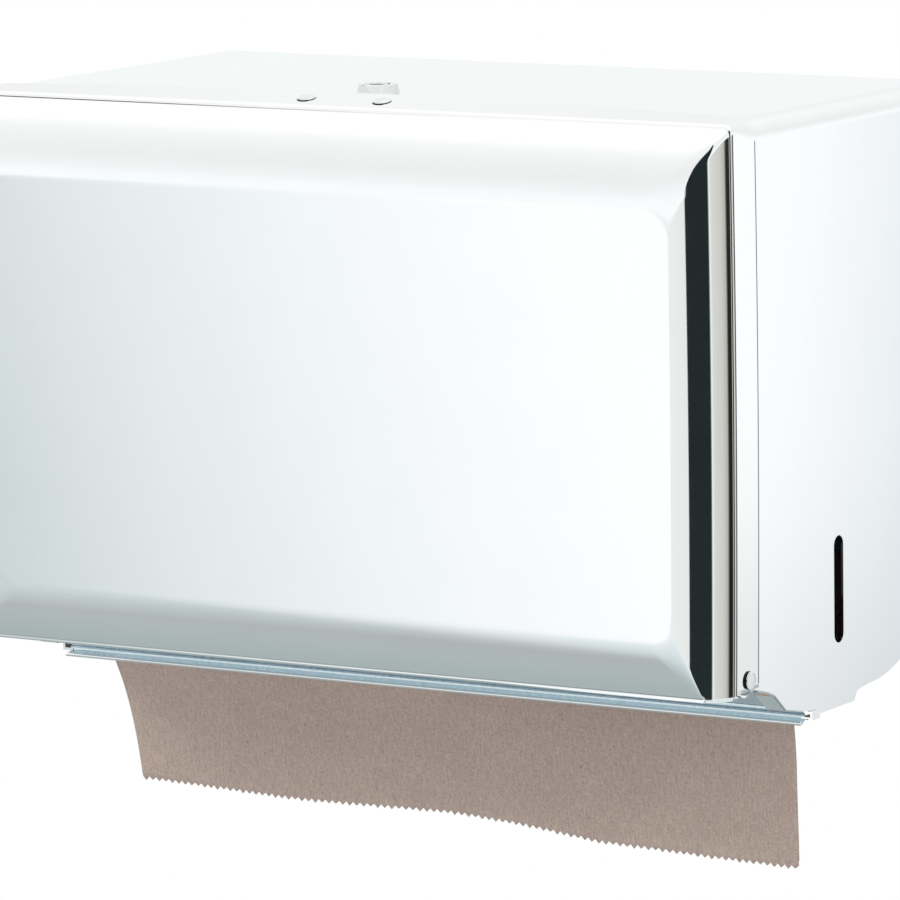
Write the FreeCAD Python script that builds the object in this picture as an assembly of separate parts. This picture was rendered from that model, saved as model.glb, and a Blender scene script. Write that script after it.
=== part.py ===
import FreeCAD, Part
import math
import os

# Folded towel dispenser for a wall: a bent sheet-steel cabinet, a raised door that is
# hinged at its bottom, a key lock in the top, and a low stack of folded paper towels.
# Millimetres. X runs to the right, Y into the wall, Z up. The origin is on the wall
# plane, in the middle of the four screw holes.

# Sheet and outer size
SHEET = 0.8
CABINET_WIDTH = 270.4
CABINET_TOP = 66.0
CABINET_BEND = 6.0
DOOR_FRONT = -143.0
WALL = 0.0
FIT_GAP = 0.1
TIGHT_GAP = 0.05
OVERLAP = 0.2

# Door pressing
DOOR_HALF_WIDTH = 136.7
DOOR_TOP = 67.2
DOOR_BOTTOM = -105.0
DOOR_FLANGE = 13.9
DOOR_CORNER = 7.0
DOOR_LOWER_CORNER = 2.5
DOOR_EDGE_BEND = 1.8
DOOR_RETURN = 2.5
DOME_INSET = 0.9
DOME_TOP_INSET = 1.9
DOME_RUN = 15.8
DOME_TOP_RUN = 24.0
DOME_HEIGHT = 11.5
DOME_FOOT_RUN = 17.0
DOME_FOOT_FALL = 2.5
DOME_LIP = 1.8
DOME_CREASE = 0.05
DOME_CORNER = 4.0
DOME_FOOT_CORNER = 1.0
DOME_CROWN_CORNER = 11.0
DOME_SIDE_STEPS = 5
DOME_FACE_STEPS = 7

# Hinge
HINGE_Y = -135.7
HINGE_Z = -100.1
HINGE_SHANK = 2.0
HINGE_CLEARANCE = 0.06
HINGE_HEAD = 3.15
HINGE_HEAD_RISE = 1.2
HINGE_CLENCH = 2.75
HINGE_NOSE = 5.4
HINGE_WASHER = 4.6
HINGE_WASHER_THICKNESS = 0.5

# Cabinet side outline, each point as (y, z)
SIDE_RELIEF = (-130.8, -103.8)
SIDE_HEM_START = (-127.8, -104.6)
SIDE_SHOULDER = (-117.5, -108.1)
SIDE_SLOPE_END = (-110.0, -114.0)
SIDE_LEVEL_END = (-95.5, -116.2)
SIDE_LOBE_FRONT = (-90.2, -118.1)
SIDE_LOBE_BACK = (-66.2, -117.9)
SIDE_STEP = (-64.3, -114.9)
REAR_ARC = 57.0
UNDERSIDE = -114.0
SIDE_HEM_WIDTH = 7.0
HEM_BENDS = [4.0, 3.0]
RELIEF_BENDS = [1.0, 1.0]
MOUTH_BENDS = [2.0, 1.5, 1.5, 2.0]

# Level slots in the sides
SLOT_Y = -76.0
SLOT_MIDDLE = -81.8
SLOT_LENGTH = 33.0
SLOT_WIDTH = 6.0

# Wall screw holes
HOLE_SPACING_X = 203.2
HOLE_SPACING_Z = 76.2
HOLE_RADIUS = 3.2

# Back panel flanges
BACK_FLANGE = 11.0
BACK_FLANGE_INSET = 3.0
BACK_BEND = 2.0
BACK_FRONT_EDGE = -64.0

# Front ledge section, each point as (y, z)
LEDGE_TOP = (-128.2, -95.0)
LEDGE_FOOT = (-128.2, -103.2)
LEDGE_SHOULDER = (-117.3, -106.9)
LEDGE_SLOPE_END = (-109.6, -113.0)
LEDGE_BACK = (-94.6, -115.0)
LIP_RIDGE = (-95.5, -116.9)
LIP_HOLLOW = (-94.2, -118.6)
LIP_END = (-97.7, -120.2)
LIP_BEAD = 0.8
LEDGE_BENDS = [1.4, 3.0, 3.0]
LIP_BENDS = [0.3, 0.5, 1.3]
LEDGE_HALF = 134.2
LIP_HALF = 133.4
TAB_FRONT = -95.3
TAB_BACK = -90.4
TAB_RISE = 2.7
TAB_GAP = 0.15

# Rear lip section
REAR_LIP_START = -57.2
REAR_LIP_NOSE = -65.4
REAR_LIP_END = -117.3
REAR_LIP_BEAD = 0.9
REAR_LIP_BEND = 1.5
REAR_LIP_HALF = 133.6

# Lock in the top of the cabinet
LOCK_X = -13.1
LOCK_Y = -97.0
LOCK_RIM = 6.75
LOCK_RIM_RISE = 2.3
LOCK_RIM_EDGE = 0.5
LOCK_BODY = 5.9
LOCK_HOLE = 6.0
LOCK_BOTTOM = 50.0
PLUG_RADIUS = 4.0
PLUG_CLEARANCE = 0.05
PLUG_FACE = 68.0
PLUG_SHOULDER = 49.6
TAIL_SIDE = 5.0
TAIL_END = 48.3
KEYWAY_LENGTH = 6.0
KEYWAY_WIDTH = 1.6
KEYWAY_FLOOR = 52.0
WAFER_COUNT = 4
WAFER_PITCH = 3.0
WAFER_TOP = 62.6
WAFER_LENGTH = 7.7
WAFER_WIDTH = 3.6
WAFER_THICKNESS = 0.8
WAFER_PLAY = 0.1
WAFER_WINDOW_LENGTH = 5.6
WAFER_WINDOW_WIDTH = 2.0
NUT_FLATS = 16.0
NUT_HEIGHT = 3.5
LOCK_WASHER_RADIUS = 8.4
LOCK_WASHER_THICKNESS = 0.8
LOCK_WASHER_SPLIT = 1.2
CAM_LENGTH = 20.0
CAM_WIDTH = 8.0
CAM_THICKNESS = 1.5
CAM_HUB = 4.8
CAM_WASHER_RADIUS = 3.6
CAM_WASHER_THICKNESS = 0.6
CAM_SCREW_HEAD = 3.1
CAM_SCREW_HEAD_HEIGHT = 2.0
CAM_SCREW_EDGE = 0.8
CAM_CROSS_LENGTH = 3.6
CAM_CROSS_WIDTH = 0.6
CAM_CROSS_DEPTH = 0.9
CAM_SCREW_SHANK = 1.5
CAM_SCREW_DEPTH = 3.2
CAM_SCREW_ROOM = 0.3

# Catch riveted under the door's top flange
CATCH_SHEET = 1.2
CATCH_BENDS = [1.8, 0.6, 0.6]
CATCH_X = -0.9
CATCH_PAD_WIDTH = 38.0
CATCH_ARM_WIDTH = 10.0
CATCH_FRONT = -140.4
CATCH_LEG = -131.8
CATCH_FLOOR = 42.3
CATCH_LIP = -90.8
CATCH_LIP_TOP = 52.5
CATCH_RIVET_SPACING = 26.8
CATCH_RIVET_Y = -136.8
CATCH_RIVET_HEAD = 3.0
CATCH_RIVET_RISE = 0.7
CATCH_RIVET_SHANK = 1.6
CATCH_CLENCH = 2.4
CATCH_CLENCH_RISE = 0.7
CATCH_TRIM = 1.5
NOTCH_CLEARANCE = 1.6
NOTCH_BACK = -130.3

# Paper towels
TOWEL_HALF = 120.5
STACK_THICKNESS = 9.0
STACK_START = (-125.6, -101.2)
STACK_SHOULDER = (-116.4, -105.2)
STACK_SLOPE_END = (-108.8, -111.5)
STACK_MOUTH = (-96.0, -112.6)
STACK_LEVEL = -111.4
STACK_ARC = 54.6
STACK_TURN = 58.0
STACK_BENDS = [6.0, 16.0, 20.0]
STACK_TAIL = 0.5
SHEET_FALL_TOP = -113.4
SHEET_FALL_LEFT = -163.0
SHEET_FALL_RIGHT = -169.3
SHEET_TOP_LEFT_Y = -87.6
SHEET_TOP_RIGHT_Y = -80.4
SHEET_FOOT_Y = -74.0
SHEET_WAVE = 2.2
SHEET_TOP_WAVE = 0.4
SHEET_BULGE_LEFT = 2.0
SHEET_BULGE_RIGHT = 1.0
SHEET_TRIM = 2.0
TOWEL_SHEET = 0.8

# Small and large lengths for building: a tolerance, a cutter's margin, past everything
EPS = 0.01
BEYOND = 5.0
FAR = 400.0


def vector(x, y, z):
    """A point or direction."""
    return FreeCAD.Vector(x, y, z)


def side_plane(x):
    """Places a (y, z) pair in the plane square to X at x."""
    return lambda pair: vector(x, pair[0], pair[1])


def front_plane(y):
    """Places an (x, z) pair in the plane square to Y at y."""
    return lambda pair: vector(pair[0], y, pair[1])


def unit(a, b):
    """Unit direction from pair a to pair b."""
    length = math.hypot(b[0] - a[0], b[1] - a[1])
    return ((b[0] - a[0]) / length, (b[1] - a[1]) / length)


def rounded_edges(points, radii, place):
    """Edges of an open path of straight runs, each inner corner rounded to its radius."""
    edges = []
    start = points[0]
    for index in range(1, len(points) - 1):
        corner = points[index]
        arrive = unit(points[index - 1], corner)
        leave = unit(corner, points[index + 1])
        cross = arrive[0] * leave[1] - arrive[1] * leave[0]
        turn = math.atan2(cross, arrive[0] * leave[0] + arrive[1] * leave[1])
        radius = radii[index - 1]
        if radius <= EPS or abs(turn) < EPS:
            edges.append(Part.LineSegment(place(start), place(corner)).toShape())
            start = corner
            continue
        reach = radius * math.tan(abs(turn) / 2)
        side = math.copysign(radius, turn)
        begin = (corner[0] - arrive[0] * reach, corner[1] - arrive[1] * reach)
        end = (corner[0] + leave[0] * reach, corner[1] + leave[1] * reach)
        centre = (begin[0] - arrive[1] * side, begin[1] + arrive[0] * side)
        outward = unit(centre, corner)
        middle = (centre[0] + outward[0] * radius, centre[1] + outward[1] * radius)
        if math.hypot(begin[0] - start[0], begin[1] - start[1]) > EPS:
            edges.append(Part.LineSegment(place(start), place(begin)).toShape())
        edges.append(Part.Arc(place(begin), place(middle), place(end)).toShape())
        start = end
    edges.append(Part.LineSegment(place(start), place(points[-1])).toShape())
    return edges


def offset_points(points, distance):
    """The open path moved to its left by distance, with mitred corners."""
    moved = []
    for index, point in enumerate(points):
        before = unit(points[index - 1], point) if index else None
        after = unit(point, points[index + 1]) if index + 1 < len(points) else None
        before = before or after
        after = after or before
        normal_before = (-before[1], before[0])
        normal_after = (-after[1], after[0])
        total = (normal_before[0] + normal_after[0], normal_before[1] + normal_after[1])
        scale = 2 * distance / (total[0] ** 2 + total[1] ** 2)
        moved.append((point[0] + total[0] * scale, point[1] + total[1] * scale))
    return moved


def strip_face(points, radii, thickness, place):
    """Section of a bent sheet: the path and its left-hand offset, closed at both ends."""
    shifted = offset_points(points, thickness)
    shifted_radii = []
    for index in range(1, len(points) - 1):
        arrive = unit(points[index - 1], points[index])
        leave = unit(points[index], points[index + 1])
        left_turn = arrive[0] * leave[1] - arrive[1] * leave[0] > 0
        change = -thickness if left_turn else thickness
        shifted_radii.append(max(radii[index - 1] + change, 0.0))
    edges = rounded_edges(points, radii, place)
    edges += rounded_edges(shifted, shifted_radii, place)
    edges.append(Part.LineSegment(place(points[0]), place(shifted[0])).toShape())
    edges.append(Part.LineSegment(place(points[-1]), place(shifted[-1])).toShape())
    return Part.Face(Part.Wire(Part.__sortEdges__(edges)))


def strip_along_x(points, radii, thickness, low, high):
    """A bent sheet whose section lies in (y, z), from x = low to x = high."""
    face = strip_face(points, radii, thickness, side_plane(low))
    return face.extrude(vector(high - low, 0, 0))


def box(low, high):
    """A box between two corners."""
    size = [high[axis] - low[axis] for axis in range(3)]
    return Part.makeBox(size[0], size[1], size[2], vector(*low))


def rod(radius, start, end):
    """A cylinder from one point to another."""
    along = end - start
    return Part.makeCylinder(radius, along.Length, start, along)


def ring(outer, inner, start, end):
    """A tube from one point to another."""
    return rod(outer, start, end).cut(rod(inner, start, end))


def rivet_head(radius, rise, base, direction):
    """A low domed head: the cap of a ball, cut off flat at its base."""
    ball = (radius ** 2 + rise ** 2) / (2 * rise)
    centre = base - direction * (ball - rise)
    return Part.makeSphere(ball, centre).common(rod(radius, base, base + direction * BEYOND))


def mirrored(shape):
    """The same shape on the other side of the middle plane."""
    return shape.mirror(vector(0, 0, 0), vector(1, 0, 0))


def side_outline():
    """Side of the cabinet in (y, z): hinge nose, hem, towel mouth, rear arc, wall, top."""
    place = side_plane(-FAR)
    front = HINGE_Y - HINGE_NOSE
    nose_low = (HINGE_Y, HINGE_Z - HINGE_NOSE)
    slant = HINGE_NOSE * math.sqrt(0.5)
    nose_middle = (HINGE_Y - slant, HINGE_Z - slant)
    lower = [
        nose_low, SIDE_RELIEF, SIDE_HEM_START, SIDE_SHOULDER, SIDE_SLOPE_END, SIDE_LEVEL_END,
        SIDE_LOBE_FRONT, SIDE_LOBE_BACK, SIDE_STEP, (-REAR_ARC, UNDERSIDE),
    ]
    bends = RELIEF_BENDS + HEM_BENDS + MOUTH_BENDS
    arc_centre = (-REAR_ARC, UNDERSIDE + REAR_ARC)
    arc_slant = REAR_ARC * math.sqrt(0.5)
    arc_middle = (arc_centre[0] + arc_slant, arc_centre[1] - arc_slant)
    arc_end = (WALL, arc_centre[1])
    above = CABINET_TOP + BEYOND
    edges = rounded_edges(lower, bends, place)
    edges.append(Part.Arc(place((front, HINGE_Z)), place(nose_middle), place(nose_low)).toShape())
    edges.append(Part.Arc(place(lower[-1]), place(arc_middle), place(arc_end)).toShape())
    edges.append(Part.LineSegment(place(arc_end), place((WALL, above))).toShape())
    edges.append(Part.LineSegment(place((WALL, above)), place((front, above))).toShape())
    edges.append(Part.LineSegment(place((front, above)), place((front, HINGE_Z))).toShape())
    return Part.Face(Part.Wire(Part.__sortEdges__(edges)))


def level_slot(side):
    """Upright slot with round ends through one side; side is -1 or 1."""
    half = SLOT_LENGTH / 2 - SLOT_WIDTH / 2
    near = side * (CABINET_WIDTH / 2 - BEYOND)
    far = side * (CABINET_WIDTH / 2 + BEYOND)
    low_x, high_x = min(near, far), max(near, far)
    slot = box((low_x, SLOT_Y - SLOT_WIDTH / 2, SLOT_MIDDLE - half),
               (high_x, SLOT_Y + SLOT_WIDTH / 2, SLOT_MIDDLE + half))
    for z in (SLOT_MIDDLE - half, SLOT_MIDDLE + half):
        slot = slot.fuse(rod(SLOT_WIDTH / 2, vector(low_x, SLOT_Y, z), vector(high_x, SLOT_Y, z)))
    return slot


def cabinet_shell():
    """Top and two sides bent from one sheet, with the hems, slots and lock hole."""
    half = CABINET_WIDTH / 2
    path = [(half, -FAR / 2), (half, CABINET_TOP), (-half, CABINET_TOP), (-half, -FAR / 2)]
    section = strip_face(path, [CABINET_BEND, CABINET_BEND], SHEET, front_plane(-FAR))
    wrap = section.extrude(vector(0, FAR * 2, 0))
    shell = wrap.common(side_outline().extrude(vector(FAR * 2, 0, 0)))
    hem_path = [SIDE_HEM_START, SIDE_SHOULDER, SIDE_SLOPE_END, SIDE_LEVEL_END]
    hem = strip_along_x(hem_path, HEM_BENDS, SHEET, half - SHEET - SIDE_HEM_WIDTH, half - SHEET / 2)
    shell = shell.fuse([hem, mirrored(hem)]).removeSplitter()
    for side in (-1, 1):
        shell = shell.cut(level_slot(side))
    pivot = rod(HINGE_SHANK, vector(-FAR, HINGE_Y, HINGE_Z), vector(FAR, HINGE_Y, HINGE_Z))
    lock_hole = rod(LOCK_HOLE, vector(LOCK_X, LOCK_Y, CABINET_TOP - BEYOND),
                    vector(LOCK_X, LOCK_Y, CABINET_TOP + BEYOND))
    notch_half = CATCH_PAD_WIDTH / 2 + NOTCH_CLEARANCE
    notch = box((CATCH_X - notch_half, DOOR_FRONT, CABINET_TOP - BEYOND),
                (CATCH_X + notch_half, NOTCH_BACK, CABINET_TOP + BEYOND))
    return shell.cut([pivot, lock_hole, notch])


def back_panel():
    """Back sheet: flat against the wall, then swept forward below to the towel mouth."""
    half = CABINET_WIDTH / 2 - SHEET - FIT_GAP
    top = CABINET_TOP - SHEET - FIT_GAP
    path = [(-BACK_FLANGE, top), (WALL, top), (WALL, UNDERSIDE), (BACK_FRONT_EDGE, UNDERSIDE)]
    panel = strip_along_x(path[::-1], [REAR_ARC, BACK_BEND], SHEET, -half, half)
    flange_low = UNDERSIDE + REAR_ARC
    for side in (-1, 1):
        outer, inner = side * half, side * (half - SHEET)
        low_x, high_x = min(outer, inner), max(outer, inner)
        flange = box((low_x, -BACK_FLANGE, flange_low),
                     (high_x, WALL - SHEET / 2, top - BACK_FLANGE_INSET))
        panel = panel.fuse(flange)
    inside_bend = upright_outline(half, -FAR / 2, top, CABINET_BEND - SHEET, SHEET, -FAR / 2)
    panel = panel.common(Part.Face(inside_bend).extrude(vector(0, FAR, 0)))
    for x in (-HOLE_SPACING_X / 2, HOLE_SPACING_X / 2):
        for z in (-HOLE_SPACING_Z / 2, HOLE_SPACING_Z / 2):
            panel = panel.cut(rod(HOLE_RADIUS, vector(x, -BEYOND, z), vector(x, BEYOND, z)))
    return panel.removeSplitter()


def front_ledge():
    """Front towel ledge: upstand, slope, and the hollow lip with its rolled bead."""
    path = [LEDGE_TOP, LEDGE_FOOT, LEDGE_SHOULDER, LEDGE_SLOPE_END, LEDGE_BACK]
    ledge = strip_along_x(path, LEDGE_BENDS, SHEET, -LEDGE_HALF, LEDGE_HALF)
    lip_path = [LEDGE_SLOPE_END, LEDGE_BACK, LIP_RIDGE, LIP_HOLLOW, LIP_END]
    lip = strip_along_x(lip_path, LIP_BENDS, SHEET / 2, -LIP_HALF, LIP_HALF)
    bead = rod(LIP_BEAD, vector(-LIP_HALF, LIP_END[0], LIP_END[1]),
               vector(LIP_HALF, LIP_END[0], LIP_END[1]))
    ledge = ledge.fuse([lip, bead])
    outside = CABINET_WIDTH / 2 + TAB_GAP
    tab_low = SIDE_LOBE_FRONT[1] - TAB_GAP - SHEET
    under = box((LIP_HALF - SHEET, TAB_FRONT, tab_low), (outside + SHEET, TAB_BACK, tab_low + SHEET))
    upright = box((outside, TAB_FRONT, tab_low), (outside + SHEET, TAB_BACK, tab_low + TAB_RISE))
    tab = under.fuse(upright)
    return ledge.fuse([tab, mirrored(tab)]).removeSplitter()


def rear_lip():
    """Strip that edges the back of the towel mouth, turned down and beaded."""
    level = UNDERSIDE + SHEET + TIGHT_GAP
    path = [(REAR_LIP_NOSE, REAR_LIP_END), (REAR_LIP_NOSE, level), (REAR_LIP_START, level)]
    strip = strip_along_x(path, [REAR_LIP_BEND], SHEET, -REAR_LIP_HALF, REAR_LIP_HALF)
    bead_y = REAR_LIP_NOSE - SHEET / 2
    bead = rod(REAR_LIP_BEAD, vector(-REAR_LIP_HALF, bead_y, REAR_LIP_END),
               vector(REAR_LIP_HALF, bead_y, REAR_LIP_END))
    return strip.fuse(bead).removeSplitter()


def upright_outline(half_width, bottom, top, upper_radius, lower_radius, y):
    """Rounded rectangle in the plane square to Y at y."""
    points = [(-half_width, bottom), (half_width, bottom), (half_width, top), (-half_width, top)]
    radii = [lower_radius, lower_radius, upper_radius, upper_radius]
    middle = (-half_width, (bottom + top) / 2)
    edges = rounded_edges([middle] + points + [middle], radii, front_plane(y))
    return Part.Wire(Part.__sortEdges__(edges))


def door_tray(inward, depth):
    """The door's flat outline with its flanges, drawn inward by a distance, as a solid."""
    wire = upright_outline(DOOR_HALF_WIDTH - inward, DOOR_BOTTOM + inward, DOOR_TOP - inward,
                        DOOR_CORNER - inward, DOOR_LOWER_CORNER - inward, DOOR_FRONT + inward)
    tray = Part.Face(wire).extrude(vector(0, depth, 0))
    front_edges = [edge for edge in tray.Edges
                   if edge.BoundBox.YMax < DOOR_FRONT + inward + EPS]
    return tray.makeFillet(DOOR_EDGE_BEND - inward, front_edges)


def dome_section(inward, drawn, depth, foot):
    """Outline of the raised centre at a depth in front of the flat face, with its lower edge at foot."""
    side = DOME_INSET + inward + (DOME_RUN - inward) * drawn
    head = DOME_TOP_INSET + inward + (DOME_TOP_RUN - inward) * drawn
    upper = DOME_CORNER + (DOME_CROWN_CORNER - DOME_CORNER) * drawn
    raised = (foot - DOOR_BOTTOM) / (DOME_LIP + DOME_FOOT_RUN)
    lower = DOME_FOOT_CORNER + (DOME_CROWN_CORNER - DOME_FOOT_CORNER) * raised
    return upright_outline(DOOR_HALF_WIDTH - side, foot, DOOR_TOP - head, upper, lower, DOOR_FRONT - depth)


def door_dome(inward):
    """Raised centre of the door.

    Its sides and top are quarter ellipses. Its foot is shallow: a parabola that falls back a
    little from the flat centre, ends in an upright lip and turns in under the door.
    """
    rise = DOME_HEIGHT - inward
    lip = rise - DOME_FOOT_FALL
    wires = [dome_section(inward, 0.0, -DOOR_EDGE_BEND, DOOR_BOTTOM + inward)]
    lip_angle = math.asin(lip / rise)
    for step in range(DOME_SIDE_STEPS + 1):
        angle = lip_angle * step / DOME_SIDE_STEPS
        wires.append(dome_section(inward, 1 - math.cos(angle), rise * math.sin(angle), DOOR_BOTTOM + inward))
    face_angle = math.asin((lip + DOME_CREASE) / rise)
    for step in range(DOME_FACE_STEPS + 1):
        angle = face_angle + (math.pi / 2 - face_angle) * step / DOME_FACE_STEPS
        depth = rise * math.sin(angle)
        fallen = math.sqrt((rise - depth) / DOME_FOOT_FALL)
        foot = DOOR_BOTTOM + DOME_LIP + DOME_FOOT_RUN * (1 - fallen)
        wires.append(dome_section(inward, 1 - math.cos(angle), depth, foot))
    return Part.makeLoft(wires, True, True)


def door_panel():
    """The door pressing: flanges that lap over the cabinet, and the raised centre."""
    outer = door_tray(0.0, DOOR_FLANGE).fuse(door_dome(0.0))
    inner = door_tray(SHEET, DOOR_FLANGE + BEYOND).fuse(door_dome(SHEET))
    door = outer.cut(inner)
    inside = DOOR_HALF_WIDTH - SHEET
    gap = box((-inside, DOOR_FRONT + DOOR_RETURN, DOOR_BOTTOM - BEYOND),
              (inside, DOOR_FRONT + DOOR_FLANGE + BEYOND, DOOR_BOTTOM + SHEET + DOOR_LOWER_CORNER))
    door = door.cut(gap)
    hole = rod(HINGE_SHANK + HINGE_CLEARANCE, vector(-FAR, HINGE_Y, HINGE_Z),
               vector(FAR, HINGE_Y, HINGE_Z))
    door = door.cut(hole)
    for x in catch_rivet_places():
        door = door.cut(rod(CATCH_RIVET_SHANK, vector(x, CATCH_RIVET_Y, DOOR_TOP - BEYOND),
                            vector(x, CATCH_RIVET_Y, DOOR_TOP + BEYOND)))
    return door


def hinge_rivet(side):
    """Rivet that the door turns on: domed head outside, shank, clenched end inside."""
    out = vector(side, 0, 0)
    outside = vector(side * (DOOR_HALF_WIDTH + FIT_GAP), HINGE_Y, HINGE_Z)
    inside = vector(side * (CABINET_WIDTH / 2 - SHEET), HINGE_Y, HINGE_Z)
    head = rivet_head(HINGE_HEAD, HINGE_HEAD_RISE, outside, out)
    shank = rod(HINGE_SHANK, inside, outside + out * OVERLAP)
    clench = rod(HINGE_CLENCH, inside - out * SHEET, inside)
    return head.fuse([shank, clench]).removeSplitter()


def hinge_washer(side):
    """Thin washer between the cabinet side and the door's flange."""
    face = vector(side * CABINET_WIDTH / 2, HINGE_Y, HINGE_Z)
    return ring(HINGE_WASHER, HINGE_SHANK, face, face + vector(side * HINGE_WASHER_THICKNESS, 0, 0))


def lock_point(z):
    """A point on the lock's axis."""
    return vector(LOCK_X, LOCK_Y, z)


def lock_barrel():
    """Lock body: low round rim on the cabinet top, threaded body below, bore for the plug."""
    rim = rod(LOCK_RIM, lock_point(CABINET_TOP), lock_point(CABINET_TOP + LOCK_RIM_RISE))
    rim_edges = [edge for edge in rim.Edges if edge.BoundBox.ZMin > CABINET_TOP + EPS]
    rim = rim.makeFillet(LOCK_RIM_EDGE, rim_edges)
    body = rod(LOCK_BODY, lock_point(LOCK_BOTTOM), lock_point(CABINET_TOP))
    bore = rod(PLUG_RADIUS + PLUG_CLEARANCE, lock_point(LOCK_BOTTOM - BEYOND),
               lock_point(CABINET_TOP + LOCK_RIM_RISE + BEYOND))
    return rim.fuse(body).removeSplitter().cut(bore)


def lock_washer():
    """Spring washer under the cabinet top, split on one side."""
    top = CABINET_TOP - SHEET
    washer = ring(LOCK_WASHER_RADIUS, LOCK_BODY + FIT_GAP, lock_point(top - LOCK_WASHER_THICKNESS),
                  lock_point(top))
    half = LOCK_WASHER_SPLIT / 2
    split = box((LOCK_X, LOCK_Y - half, top - BEYOND),
                (LOCK_X + LOCK_WASHER_RADIUS + BEYOND, LOCK_Y + half, top + BEYOND))
    return washer.cut(split)


def lock_nut():
    """Thin hexagon nut that clamps the lock to the cabinet top."""
    top = CABINET_TOP - SHEET - LOCK_WASHER_THICKNESS
    corner = NUT_FLATS / math.sqrt(3)
    corners = [vector(LOCK_X + corner * math.cos(math.radians(60 * k)),
                      LOCK_Y + corner * math.sin(math.radians(60 * k)), top - NUT_HEIGHT)
               for k in range(7)]
    prism = Part.Face(Part.makePolygon(corners)).extrude(vector(0, 0, NUT_HEIGHT))
    return prism.cut(rod(LOCK_BODY + TIGHT_GAP, lock_point(top - FAR), lock_point(top + BEYOND)))


def wafer_levels():
    """Heights of the wafers' upper faces."""
    return [WAFER_TOP - WAFER_PITCH * k for k in range(WAFER_COUNT)]


def lock_plug():
    """Turning plug: keyway from the top, a cross slot for each wafer, square tail."""
    plug = rod(PLUG_RADIUS, lock_point(PLUG_SHOULDER), lock_point(PLUG_FACE))
    tail = box((LOCK_X - TAIL_SIDE / 2, LOCK_Y - TAIL_SIDE / 2, TAIL_END),
               (LOCK_X + TAIL_SIDE / 2, LOCK_Y + TAIL_SIDE / 2, PLUG_SHOULDER + OVERLAP))
    plug = plug.fuse(tail).removeSplitter()
    cuts = [box((LOCK_X - KEYWAY_LENGTH / 2, LOCK_Y - KEYWAY_WIDTH / 2, KEYWAY_FLOOR),
                (LOCK_X + KEYWAY_LENGTH / 2, LOCK_Y + KEYWAY_WIDTH / 2, PLUG_FACE + BEYOND))]
    half = WAFER_WIDTH / 2 + WAFER_PLAY
    for top in wafer_levels():
        cuts.append(box((LOCK_X - BEYOND, LOCK_Y - half, top - WAFER_THICKNESS - WAFER_PLAY),
                        (LOCK_X + BEYOND, LOCK_Y + half, top + WAFER_PLAY)))
    cuts.append(rod(CAM_SCREW_SHANK, lock_point(TAIL_END - BEYOND),
                    lock_point(TAIL_END + CAM_SCREW_DEPTH + CAM_SCREW_ROOM)))
    return plug.cut(cuts)


def lock_wafers():
    """Flat wafers, each with a window that the key passes through."""
    wafers = []
    for top in wafer_levels():
        plate = box((LOCK_X - WAFER_LENGTH / 2, LOCK_Y - WAFER_WIDTH / 2, top - WAFER_THICKNESS),
                    (LOCK_X + WAFER_LENGTH / 2, LOCK_Y + WAFER_WIDTH / 2, top))
        window = box((LOCK_X - WAFER_WINDOW_LENGTH / 2, LOCK_Y - WAFER_WINDOW_WIDTH / 2, top - BEYOND),
                     (LOCK_X + WAFER_WINDOW_LENGTH / 2, LOCK_Y + WAFER_WINDOW_WIDTH / 2, top + BEYOND))
        round_ends = rod(PLUG_RADIUS - WAFER_PLAY, lock_point(top - BEYOND), lock_point(top + BEYOND))
        wafers.append(plate.cut(window).common(round_ends))
    return Part.makeCompound(wafers)


def lock_cam():
    """Flat cam on the plug's square tail, pointing to the front when unlocked."""
    low = PLUG_SHOULDER - CAM_THICKNESS
    arm = box((LOCK_X - CAM_WIDTH / 2, LOCK_Y - CAM_LENGTH + CAM_WIDTH / 2, low),
              (LOCK_X + CAM_WIDTH / 2, LOCK_Y, PLUG_SHOULDER))
    hub = rod(CAM_HUB, lock_point(low), lock_point(PLUG_SHOULDER))
    tip_place = vector(LOCK_X, LOCK_Y - CAM_LENGTH + CAM_WIDTH / 2, low)
    tip = rod(CAM_WIDTH / 2, tip_place, tip_place + vector(0, 0, CAM_THICKNESS))
    hole = box((LOCK_X - TAIL_SIDE / 2, LOCK_Y - TAIL_SIDE / 2, low - BEYOND),
               (LOCK_X + TAIL_SIDE / 2, LOCK_Y + TAIL_SIDE / 2, PLUG_SHOULDER + BEYOND))
    return arm.fuse([hub, tip]).removeSplitter().cut(hole)


def cam_washer():
    """Plain washer under the cam."""
    top = PLUG_SHOULDER - CAM_THICKNESS
    low = top - CAM_WASHER_THICKNESS
    return ring(CAM_WASHER_RADIUS, CAM_SCREW_SHANK, lock_point(low), lock_point(top))


def cam_screw():
    """Pan-head screw into the plug's tail, with a cross slot in its head."""
    top = PLUG_SHOULDER - CAM_THICKNESS - CAM_WASHER_THICKNESS
    low = top - CAM_SCREW_HEAD_HEIGHT
    head = rod(CAM_SCREW_HEAD, lock_point(low), lock_point(top))
    low_edges = [edge for edge in head.Edges if edge.BoundBox.ZMax < low + EPS]
    head = head.makeFillet(CAM_SCREW_EDGE, low_edges)
    shank = rod(CAM_SCREW_SHANK, lock_point(top), lock_point(TAIL_END + CAM_SCREW_DEPTH))
    floor = low + CAM_CROSS_DEPTH
    long = CAM_CROSS_LENGTH / 2
    short = CAM_CROSS_WIDTH / 2
    under = low - BEYOND
    along = box((LOCK_X - long, LOCK_Y - short, under), (LOCK_X + long, LOCK_Y + short, floor))
    across = box((LOCK_X - short, LOCK_Y - long, under), (LOCK_X + short, LOCK_Y + long, floor))
    return head.fuse(shank).removeSplitter().cut([along, across])


def catch_rivet_places():
    """The x of each catch rivet."""
    return [CATCH_X - CATCH_RIVET_SPACING / 2, CATCH_X + CATCH_RIVET_SPACING / 2]


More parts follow.
